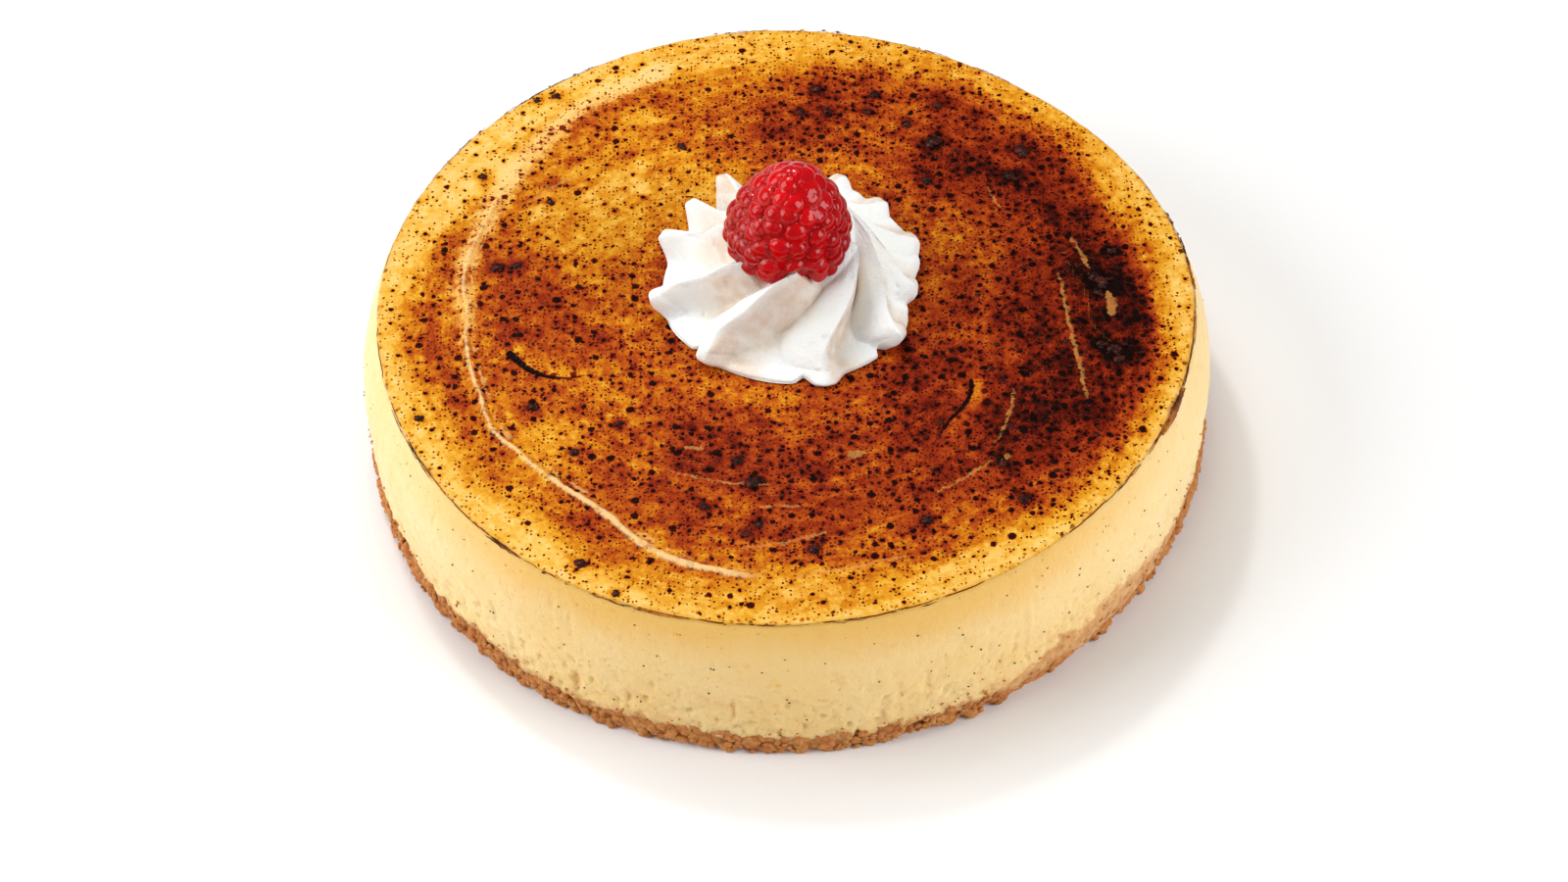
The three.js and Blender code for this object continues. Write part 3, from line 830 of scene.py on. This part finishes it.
def sliver(bearing, length, width, thick, drop, noise, seed):
    """A thin curled strip of burnt skin along the rim, drop mm below the top."""
    count = max(6, int(length / SLIVER_STEP))
    run = np.linspace(-0.5, 0.5, count)
    turn = bearing + np.degrees(run * length / outline_radius(bearing, SHOULDER))
    bend = np.arccos(np.clip(1 - drop / RIM_ROUNDING, -1, 1))
    radius = outline_radius(turn, SHOULDER) - RIM_ROUNDING * (1 - np.sin(bend))
    path = beside(run * 9, seed * 3.7, 0)
    taper = np.sqrt(np.clip(1 - (2 * run) ** 2, 0, 1))
    breadth = width * taper * (1 + 0.55 * noise.at(path * 1.7)) + 0.02
    wander = 0.3 * noise.at(path * 0.6 + 5)
    corners = []
    for across, out in ((-0.5, 0), (0, 1), (0.5, 0), (0, -0.6)):
        slope = radius + out * thick * np.sin(bend) + across * breadth * np.cos(bend)
        height = CAKE_HEIGHT - drop + wander + out * thick * np.cos(bend) - across * breadth
        corners.append(polar(slope, turn, height))
    quads = ring_faces(count, 4)
    triangles = np.concatenate([quads[:, :3], quads[:, [0, 2, 3]]])
    return np.stack(corners, axis=1).reshape(-1, 3), triangles


def rim_char(material):
    crowd = Crowd(41)
    strips = []  # bearing, length, width, thickness and drop of each
    for at_bearing, wide, count in RIM_BURNS:
        drawn = spread(count, 400 + at_bearing, (-1, 1), (2, 9), (0.08, 0.2), (0.12, 0.45))
        for turn, length, width, drop in drawn:
            strips.append((at_bearing + turn * wide, length, width, SLIVER_THICKNESS, drop))
    for bearing, length, width, drop in RIM_FLAKES:
        strips.append((bearing, length, width, FLAKE_THICKNESS, drop))
    for number, strip in enumerate(strips):
        crowd.parts.append(sliver(*strip, crowd.noise, number + 1))
    for at_bearing, wide, count in RIM_BITS:
        drawn = spread(count, 440 + at_bearing, (-1, 1), (0.0, 0.6), (0.12, 0.34), (0.5, 1))
        for k, (turn, drop, size, slender) in enumerate(drawn):
            bearing = at_bearing + turn * wide
            radius = outline_radius(bearing, SHOULDER) - 0.35 + 0.25 * drop
            place = polar(radius, bearing, CAKE_HEIGHT - drop)
            stretch = (size * 1.5, size * slender, size * 0.5)
            crowd.lump(place, polar(1, bearing, 0.4), stretch, 0.7, len(strips) + 3 * k)
    return crowd.piece("rim_char", material, "baked_custard")


def rim_look():
    look = Look("scorched_rim", IOR=1.5, Specular_IOR_Level=0.12)
    bit = look.noise(9, 2) * 0.6 + look.noise(1.2, 3, 0.6) * 0.4
    look.colour = bit.ramp((0.4, 62, 22, 6), (0.5, 128, 62, 14), (0.6, 188, 112, 32))
    return look.done(Roughness=look.noise(0.6).step(0.3, 0.7, 0.35, 0.6))


# ---- The pale side ----

def custard_side(material):
    bearing = around(SIDE_COLUMNS)
    noise = Noise(51)
    ragged = polar(50, bearing, 0)
    drape = 0.9 + 1.6 * noise.cloud(ragged, 9, 2) + 1.3 * noise.cloud(ragged, 2.6, 3)
    for at_bearing, wide, depth in DRAPES:
        drape += depth * bell(bearing - at_bearing, wide)
    bottom = crust_edge(bearing) - np.maximum(drape, -0.8)
    height = lerp(bottom, SHOULDER + SIDE_ABOVE, np.linspace(0, 1, SIDE_ROWS)[:, None])
    over = np.clip(height - SHOULDER, 0, None)
    rounded = RIM_ROUNDING - np.sqrt(RIM_ROUNDING**2 - over**2)
    radius = outline_radius(bearing, np.minimum(height, SHOULDER)) - rounded
    radius -= SIDE_INSET + 0.4 * smooth(0, 0.5, over)

    # The side is rougher, more pitted and more torn towards the crust, but not where crust is
    # smeared over it.
    place = polar(radius, bearing, height)
    low = smooth(22, 7, height)
    relief = 0.22 * (1 + noise.cloud(place, 12, 2)) / 2
    relief += (0.05 + 0.46 * low) * (1 + noise.cloud(place * (1, 1, 1.6), 2.4, 4, 0.6))
    relief += (0.02 + 0.15 * low) * (1 + noise.cloud(place + 70, 1.1, 2))
    pits = np.clip(noise.cloud(place + 40, 1.5, 1) - 0.42, 0, 1)
    tears = np.clip(noise.cloud(place * (1, 1, 2.2) + 90, 2.4, 3, 0.7) - 0.28, 0, 1)
    relief += (0.4 + 1.4 * low) * pits + 1.5 * low * tears
    smear = bell(bearing - SMEAR_BEARING, SMEAR_SPREAD)
    smeared = 0.22 + 0.2 * noise.cloud(place, 3.5, 3)
    relief = lerp(relief, smeared, 0.8 * smear * smooth(9.5, 7, height))
    crease = bell(bearing - CREASE_BEARING, 0.4) * smooth(8, 12, height) * smooth(26, 20, height)
    relief = np.maximum(relief - 0.18 * crease, 0) * smooth(0.2, 3, SHOULDER - height)
    radius -= relief + 0.45 * smooth(0.9, 0, height - bottom) ** 2

    side = polar(radius, bearing, height)
    lip = side[0] * (0.985, 0.985, 1)
    above = np.vstack([np.zeros(SIDE_COLUMNS), height - bottom - SMEAR_HEIGHT * smear])
    return new_piece(
        "custard_side", np.concatenate([lip, *side]), ring_faces(SIDE_ROWS + 1, SIDE_COLUMNS),
        material, "baked_custard", replaced=("cheesecake",),
        uv=folded_uv(SIDE_ROWS + 1, SIDE_COLUMNS, 4), above_crust=above.ravel(),
    )


def folded_uv(rows, columns, strips):
    """A long ring laid out as a few strips, one above the other, so that it fills the square."""
    row, column = np.arange(rows - 1)[:, None], np.arange(columns)
    each = columns // strips
    strip = np.minimum(column // each, strips - 1)
    corners = []
    for over, up in ((0, 0), (1, 0), (1, 1), (0, 1)):
        across = 0.01 + 0.98 * (column - strip * each + over) / each
        tall = (strip + 0.03 + 0.94 * (row + up) / (rows - 1)) / strips
        corners.append(beside(across, tall))
    return np.stack(corners, axis=-2).reshape(-1, 2)


def custard_look():
    look = Look(
        "baked_custard", IOR=1.45, Specular_IOR_Level=0.3,
        Subsurface_Weight=0.35, Subsurface_Scale=0.003, Subsurface_Radius=(1.0, 0.6, 0.25),
    )
    _, deep, height = look.parts(look.place)
    broad = look.noise(14, 3)
    fine = look.noise(2.0, 4, 0.65)
    look.colour = look.mix(broad.step(0.35, 0.65), (246, 215, 152), (249, 221, 164))
    look.tint(fine.step(0.5, 0.72) * 0.28, 242, 198, 118)
    # Painted warm bounce light: yellower towards the front.
    look.tint(deep.step(-35.0, -70.0) * 0.3, 240, 190, 100)
    # A toasted band under the rim, four times as strong at the front; the extra at the front is
    # painted warm bounce light.
    toasted = (height + (broad - 0.5) * 9).step(22.0, 29.5)
    look.tint(toasted * deep.step(*FRONT, 0.25, 1.0) * 0.75, 242, 188, 88)
    look.tint(look.spots(5.0, 0.45, 0.6, 0.7) * 0.5, 238, 180, 76)
    ragged = look.attribute("above_crust") + (look.noise(3.2, 4, 0.7) - 0.5) * 7.0
    tan = look.mix(fine.step(0.4, 0.65), (218, 162, 104), (190, 120, 68))
    look.tint(ragged.step(2.6, 0.6, 0.0, 0.85), tan)
    smudge = (look.noise(4.5, 4, 0.7) + height.step(20.0, 2.0, 0.0, 0.1)).step(0.6, 0.72)
    look.tint(smudge * 0.25, 228, 172, 104)
    # Pores: pits in the bump, with painted shade inside them.
    pores = look.spots(1.2, height.step(24.0, 6.0, 0.14, 0.6), 0.2, 0.4)
    look.tint(pores * 0.4, 222, 170, 96)
    bumps = (1.0 - pores).bump(0.2, (fine + look.noise(0.6, 3, 0.6) * 0.4).bump(0.34))
    return look.done(Roughness=fine.step(0.3, 0.7, 0.38, 0.56), Normal=bumps)


def vanilla_seeds(material):
    crowd = Crowd(61)
    drawn = spread(SEEDS, 62, (0, 360), (7.5, 28.5), (0.12, 0.22), (0.6, 1))
    for k, (bearing, height, size, slender) in enumerate(drawn):
        crowd.on_side(bearing, height, SEED_DEPTH, (size, size * slender, 0.1), 0.3, k)
    return crowd.piece("vanilla_seeds", material, "baked_custard")


def seed_look():
    look = Look("vanilla_seed", IOR=1.45, Specular_IOR_Level=0.1, Roughness=0.7)
    look.colour = look.noise(0.8, 2).ramp((0.35, 40, 15, 5), (0.7, 86, 42, 16))
    return look.done()


# ---- The crumb crust ----

def crumb_crust(material):
    bearing = around(CRUST_COLUMNS)
    edge = crust_edge(bearing)
    noise = Noise(71)
    height = (edge + CRUST_ABOVE) * np.linspace(0, 1, CRUST_ROWS)[:, None]
    radius = outline_radius(bearing, height)
    place = polar(radius, bearing, height)
    radius -= 0.2 + 1.9 * np.abs(noise.cloud(place, 2.6, 4, 0.6))
    radius -= 0.9 * (1 + noise.cloud(place, 7, 2)) / 2
    radius -= 0.9 * smooth(1.4, 0, height) ** 2 + 0.7 * smooth(-0.1, 1.2, height - edge)
    side = polar(radius, bearing, height)
    under = [side[0] * (share, share, 0) for share in (0.5, 0.97)]
    points = np.concatenate([np.zeros((1, 3)), *under, *side, side[-1] * (0.96, 0.96, 1)])
    fan = [[0, k + 1, (k + 1) % CRUST_COLUMNS + 1] for k in range(CRUST_COLUMNS)]
    quads = ring_faces(len(points) // CRUST_COLUMNS, CRUST_COLUMNS) + 1
    return new_piece(
        "crumb_crust", points, fan + quads.tolist(), material, "crumb_crust",
        replaced=("crust_base",),
    )


def crust_crumbs(material):
    """Coarse crumbs that stand out of the crust's side, and fine ones smeared up the custard."""
    crowd = Crowd(81)
    for count, low, high, power, least, most, sunk in CRUMBS:
        ranges = (0, 360), (0, 1), (least, most), (0.55, 1), (0.45, 0.8)
        drawn = spread(count, 82 + count, *ranges)
        for k, (bearing, share, size, slender, deep) in enumerate(drawn):
            if k % 4 and bell(bearing - SMEAR_BEARING, SMEAR_SPREAD) > 0.4:
                continue
            reach = size * (1 if k % 9 else 1.3)
            height = max(crust_edge(bearing) * lerp(low, high, share**power), reach * 0.75)
            stretch = (reach, reach * slender, reach * deep)
            crowd.on_side(bearing, height, 0.5 + reach * deep * sunk, stretch, 0.6, k)
    points, faces = joined(crowd.parts)
    points[:, 2] = np.maximum(points[:, 2], CRUMB_CLEARANCE)
    return new_piece("crust_crumbs", points, faces, material, "crumb_crust")


def crumb_look():
    look = Look(
        "biscuit_crumb", IOR=1.45, Specular_IOR_Level=0.25,
        Subsurface_Weight=0.1, Subsurface_Scale=0.001,
    )
    grain = look.noise(1.0, 4, 0.7)
    look.colour = (grain * 0.7 + look.noise(5.0, 3) * 0.3).ramp(
        (0.25, 138, 72, 32), (0.42, 186, 112, 56), (0.58, 210, 144, 80), (0.78, 230, 180, 112)
    )
    look.tint(look.spots(1.6, 0.25, 0.4, 0.5) * 0.5, 116, 56, 24)
    return look.done(Roughness=grain.step(0.3, 0.7, 0.45, 0.75), Normal=grain.bump(0.5))


# ---- The whipped cream star ----

def channel_depth(step, share, width):
    """0 on a crest and 1 in the channel: a wall, a floor, and the back of the next crest."""
    wall = np.interp(share, CREAM_STATIONS, CREAM_WALL_ENDS)
    rise = np.interp(share, CREAM_STATIONS, CREAM_RISE_STARTS)
    outer = smooth(0.5, 0.3, share)
    nose = outer * np.minimum(CREAM_NOSE_WIDTH / width, 0.6)
    drop = smooth(lerp(-0.2, CREAM_NOSE_TOP, outer), 1, step / np.maximum(wall, nose))
    back = np.clip((step - rise) / (1 - rise), 0, 1)
    return np.minimum(drop, 1 - back**CREAM_RISE_POWER) * smooth(0, 0.06, step)


def cream_star(material):
    columns = len(CREAM_RIDGES) * CREAM_COLUMNS_PER_RIDGE
    ridge, part = np.divmod(np.arange(columns), CREAM_COLUMNS_PER_RIDGE)
    even = part / CREAM_COLUMNS_PER_RIDGE
    step = even - 0.5 * np.sin(2 * np.pi * even) / (2 * np.pi)
    ridges = np.array([*CREAM_RIDGES, CREAM_RIDGES[0]], float)
    ridges[-1, 0] += 360
    this, following = ridges[ridge].T, ridges[ridge + 1].T
    bearing, turned_by, turned = (lerp(this[k], following[k], step) for k in (0, 4, 5))
    reach, sag = (lerp(this[k], following[k], smooth(0.3, 0.8, step)) for k in (1, 3))
    share = np.linspace(0, 1, CREAM_ROWS)[:, None]
    depth = this[2] * channel_depth(step, share, following[0] - this[0])
    crest = lerp(spline_at(CREST_LINE, share), spline_at(SAGGED_CREST_LINE, share), sag[:, None])
    valley = spline_at(VALLEY_LINE, share)
    way = np.clip((share - CREAM_TURN_STARTS) / (turned - CREAM_TURN_STARTS), 0, 1)
    turn = bearing + turned_by * way**CREAM_TURN_POWER
    radius = lerp(crest[..., 0], valley[..., 0], depth)
    radius = lerp(radius, radius * reach, smooth(0.6, 0.2, share))
    height = lerp(crest[..., 1], valley[..., 1], depth)
    radius -= 1.6 * bell(step - CREAM_NOTCH_AT, 0.05) * smooth(0.3, 0.1, share) * this[2]
    grid = polar(radius, turn, height)
    noise = Noise(91)
    out = 0.3 * noise.cloud(grid, 4, 3) + 0.05 * noise.cloud(grid, 0.8, 2)
    out -= 1.1 * np.clip(noise.cloud(grid + 30, 1.0, 1) - 0.62, 0, 1)
    grid += ring_normals(grid) * (out * smooth(0.0, 0.04, share))[..., None]
    grid[..., 2] = np.maximum(grid[..., 2], 0)
    # The walls after the crests, where cream_look paints shade.
    wall = smooth(0, 0.1, step) * smooth(0.65, 0.3, step)
    return new_piece(
        "cream_star", grid.reshape(-1, 3), ring_faces(CREAM_ROWS, columns), material,
        "whipped_cream", replaced=("cream_rosette",), middle=CREAM_MIDDLE,
        wall=np.tile(wall, CREAM_ROWS),
    )


def cream_look():
    look = Look(
        "whipped_cream", IOR=1.4, Specular_IOR_Level=0.3,
        Subsurface_Weight=0.3, Subsurface_Scale=0.0025, Subsurface_Radius=(1.0, 0.85, 0.7),
    )
    grain = look.noise(0.6, 3, 0.7)
    look.colour = look.mix(look.noise(6, 2).step(0.35, 0.65), (247, 250, 248), (248, 250, 244))
    look.tint(look.spots(4.5, 0.3, 0.5, 0.8) * 0.35, 244, 226, 184)
    # Painted shade: the walls after the crests are tinted tan-grey, except on the left, where
    # they face the left lamp.
    painted_wall_shade = look.attribute("wall") * look.noise(3, 2).step(0.3, 0.7, 0.5, 1.0)
    across, _, _ = look.parts(look.place)
    look.tint(painted_wall_shade * across.step(-18.0, -10.0) * 0.8, 220, 192, 166)
    bumps = (grain + look.noise(0.35, 2, 0.6) * 0.5).bump(0.16)
    return look.done(Roughness=grain.step(0.3, 0.7, 0.42, 0.6), Normal=bumps)


# ---- The raspberry ----

def egg_radius(z):
    return BERRY_RADIUS * (1 - BERRY_TAPER * z)


def egg_points(direction):
    girth = egg_radius(direction[:, 2:])
    return direction * np.hstack([girth, girth, np.full_like(girth, BERRY_HALF_HEIGHT)])


def uneven(by, drupelet, ring):
    size, drupelet_phase, ring_phase = by
    return size * math.sin(drupelet_phase * drupelet + ring_phase * ring)


def drupelet_directions():
    """Rings of drupelets from the tip to the broad end, each half a step on from the last."""
    rings = round(math.pi * BERRY_HALF_HEIGHT / DRUPELET_PITCH)
    found = []
    for ring in range(rings):
        from_tip = 180 * (ring + DRUPELET_RING_START) / rings
        girth = 2 * math.pi * egg_radius(cosine(from_tip)) * sine(from_tip)
        count = max(3, round(girth / DRUPELET_PITCH))
        for k in range(count):
            turn = 360 * (k + 0.5 * (ring % 2) + uneven(DRUPELET_SWAY, k, ring)) / count
            tilt = from_tip + math.degrees(uneven(DRUPELET_TILT, k, ring))
            found.append((sine(tilt) * sine(turn), -sine(tilt) * cosine(turn), cosine(tilt)))
    return np.array(found)


def turning(degrees, first, second):
    """A matrix that turns the first axis towards the second."""
    matrix = np.eye(3)
    matrix[first, first] = matrix[second, second] = cosine(degrees)
    matrix[second, first] = sine(degrees)
    matrix[first, second] = -sine(degrees)
    return matrix


BERRY_TURN = turning(BERRY_NOD, 1, 2) @ turning(BERRY_LEAN, 2, 0)


def berry_surface(direction):
    """The drupelets' surface in each direction, the nearest drupelet's number, and how far
    inside its own edge each point lies."""
    centres = egg_points(drupelet_directions())
    egg = egg_points(direction)
    gap = np.linalg.norm(egg[:, None, :] - centres[None, :, :], axis=2)
    gap = gap - spread(len(centres), 101, (-0.26, -0.02)).ravel()
    first, second = np.partition(gap, 1, axis=1)[:, :2].T
    cap = np.sqrt(np.clip(DRUPELET_RADIUS**2 - first**2, 0, None))
    cap = lerp(cap, DRUPELET_RADIUS, 0.1)
    out = DRUPELET_RADIUS * DRUPELET_RELIEF - (DRUPELET_RADIUS - cap) * DRUPELET_DEPTH
    fused = smooth(0.86, 0.97, direction @ BERRY_FUSED)
    out -= 1.1 * smooth(0.95, 0.985, direction @ BERRY_TUCKED)
    out -= 2.4 * smooth(-0.3, -0.75, direction[:, 2])
    out -= fused * (0.75 * (out - 0.85) + 0.2 * (1 + Noise(103).cloud(egg, 1.6, 2)))
    return egg + direction * out[:, None], gap.argmin(axis=1), second - first


def raspberry(material):
    direction, faces = ball(BERRY_SUBDIVISIONS)
    surface, nearest, inside = berry_surface(direction)
    own = spread(nearest.max() + 1, 102, (0, 1)).ravel()[nearest]
    return new_piece(
        "raspberry_fruit", surface @ BERRY_TURN.T, faces, material, "raspberry",
        replaced=("raspberry",), middle=BERRY_MIDDLE, own=own, inside=inside,
    )


def raspberry_look():
    look = Look(
        "raspberry_skin", IOR=1.42, Specular_IOR_Level=0.36,
        Subsurface_Weight=0.35, Subsurface_Scale=0.003, Subsurface_Radius=(1.0, 0.1, 0.08),
    )
    inside = look.attribute("inside")
    over = look.parts(look.place)[0] - BERRY_MIDDLE[0]
    look.colour = look.mix(look.attribute("own"), (190, 0, 8), (216, 0, 10))
    look.tint(inside.step(0.5, 0.0) * 0.7, 190, 2, 12)
    look.tint(look.noise(2.2, 3).step(0.4, 0.7) * 0.35, 140, 0, 10)
    # Painted shade: darker red towards the berry's left and right sides.
    look.tint(abs(over).step(4.0, 10.0, 0.15, 1.0) * 0.7, 146, 4, 12)
    # Pinkish rings round each drupelet, partly fuzz and partly painted sheen, most of all on the
    # side that the berry leans away from.
    ring = inside.step(0.1, 0.5) * inside.step(1.5, 0.8)
    fuzz_and_sheen = ring * look.noise(0.8, 3, 0.7).step(0.4, 0.65)
    look.tint(fuzz_and_sheen * over.step(2.0, -9.0) * 0.6, 204, 104, 98)
    rough = look.noise(1.4, 3).step(0.3, 0.7, 0.03, 0.12)
    return look.done(Roughness=rough, Normal=look.noise(0.9, 2).bump(0.08))


def raspberry_styles(material):
    """The short hairs that are left of the flower, one on some of the drupelets."""
    directions = drupelet_directions()
    directions = directions[(abs(directions[:, 2] - 0.1) < 0.65) & (directions[:, 0] < 0.3)]
    surface, _, _ = berry_surface(directions)
    ranges = (0.8, 1.7), (-1.2, 1.2), (-1.2, 1.2), (0, 1), (-0.6, 0.6)
    drawn = spread(len(directions), 111, *ranges)
    way = np.linspace(-0.1, 1, HAIR_STEPS)[:, None]
    parts = []
    for outward, root, (length, aside, upward, pick, curl) in zip(directions, surface, drawn):
        if pick < STYLES_SHARE:
            level, upright, _ = axes_for(outward)
            aim = outward * 0.55 + level * aside + upright * upward
            aim = aim / np.linalg.norm(aim)
            path = root + (aim * way + upright * curl * way * way * 0.5) * length
            parts.append(hair(path, HAIR_RADIUS))
    points, faces = joined(parts)
    return new_piece(
        "raspberry_styles", points @ BERRY_TURN.T, faces, material, "raspberry",
        middle=BERRY_MIDDLE,
    )


def hair(path, radius):
    """A thin tapering tube along a path."""
    count = len(path)
    angle = around(HAIR_SIDES)[:, None]
    rings = []
    for k, point in enumerate(path):
        across, over, _ = axes_for(path[min(k + 1, count - 1)] - path[max(k - 1, 0)])
        thin = radius * (1 - 0.75 * k / (count - 1))
        rings.append(point + thin * (cosine(angle) * across + sine(angle) * over))
    return np.concatenate(rings), ring_faces(count, HAIR_SIDES)


def style_look():
    look = Look("raspberry_style", IOR=1.45, Roughness=0.45)
    look.colour = look.noise(2.5, 1).ramp((0.35, 90, 40, 22), (0.6, 196, 140, 84))
    return look.done()


# ---- Floor, camera and light ----

CAMERA_ELEVATION = 48.0
CAMERA_ROLL = -1.3
CAMERA_DISTANCE = 715
CAMERA_TARGET = (-0.4, -4.3, 0)  # from the cake's middle
CAMERA_LENS = 90
FLOOR_HALF = 3.0  # metres
LIGHT_DISTANCE = 0.9
LIGHTS = (  # name, bearing, elevation, size, power
    ("left_box", 189, 33, 0.6, 5.9), ("right_box", 336, 28, 0.5, 4.8),
    ("top_box", 115, 62, 0.5, 2.35), ("glint_box", 118, 60, 0.08, 1.6),
)
SKY_STRENGTH = 0.24


def pale_floor():
    low, high = -FLOOR_HALF, FLOOR_HALF
    corners = [(low, low, 0), (high, low, 0), (high, high, 0), (low, high, 0)]
    mesh = bpy.data.meshes.new("floor")
    mesh.from_pydata(corners, [], [(0, 1, 2, 3)])
    look = Look("pale_floor", Base_Color=(0.9, 0.9, 0.9, 1), Roughness=0.7)
    mesh.materials.append(look.material)
    put("floor", mesh)


def photo_camera():
    back = np.array([0, -cosine(CAMERA_ELEVATION), sine(CAMERA_ELEVATION)])
    right = np.array([1.0, 0, 0])
    up = np.cross(back, right)
    across = right * cosine(CAMERA_ROLL) + up * sine(CAMERA_ROLL)
    over = up * cosine(CAMERA_ROLL) - right * sine(CAMERA_ROLL)
    stand = (MIDDLE + CAMERA_TARGET + back * CAMERA_DISTANCE) * MM
    lens = bpy.data.cameras.new("camera")
    lens.lens, lens.sensor_width, lens.clip_start = CAMERA_LENS, 36, 0.02
    camera = put("camera", lens)
    camera.matrix_world = Matrix([*np.stack([across, over, back, stand], axis=1), (0, 0, 0, 1)])
    bpy.context.scene.camera = camera


def soft_box(name, bearing, elevation, size, power):
    """A square light, size metres across, aimed at the cake."""
    lamp = bpy.data.lights.new(name, "AREA")
    lamp.shape, lamp.size, lamp.energy = "SQUARE", size, power
    box = put(name, lamp)
    away = Vector(polar(cosine(elevation), bearing, sine(elevation)))
    box.location = away * LIGHT_DISTANCE
    box.rotation_euler = away.to_track_quat("Z", "Y").to_euler()


def studio():
    scene = bpy.context.scene
    scene.view_settings.view_transform = "Standard"
    scene.world = bpy.data.worlds.new("studio")
    scene.world.use_nodes = True
    sky = scene.world.node_tree.nodes["Background"]
    sky.inputs["Color"].default_value = (1, 1, 1, 1)
    sky.inputs["Strength"].default_value = SKY_STRENGTH
    for light in LIGHTS:
        soft_box(*light)


# ---- Everything together ----

def main():
    pale_floor()
    studio()
    photo_camera()
    crumb = crumb_look()
    torched_top(torched_look())
    scorched_blisters(scorched_look())
    rim_char(rim_look())
    custard_side(custard_look())
    vanilla_seeds(seed_look())
    crumb_crust(crumb)
    crust_crumbs(crumb)
    cream_star(cream_look())
    raspberry(raspberry_look())
    raspberry_styles(style_look())


main()
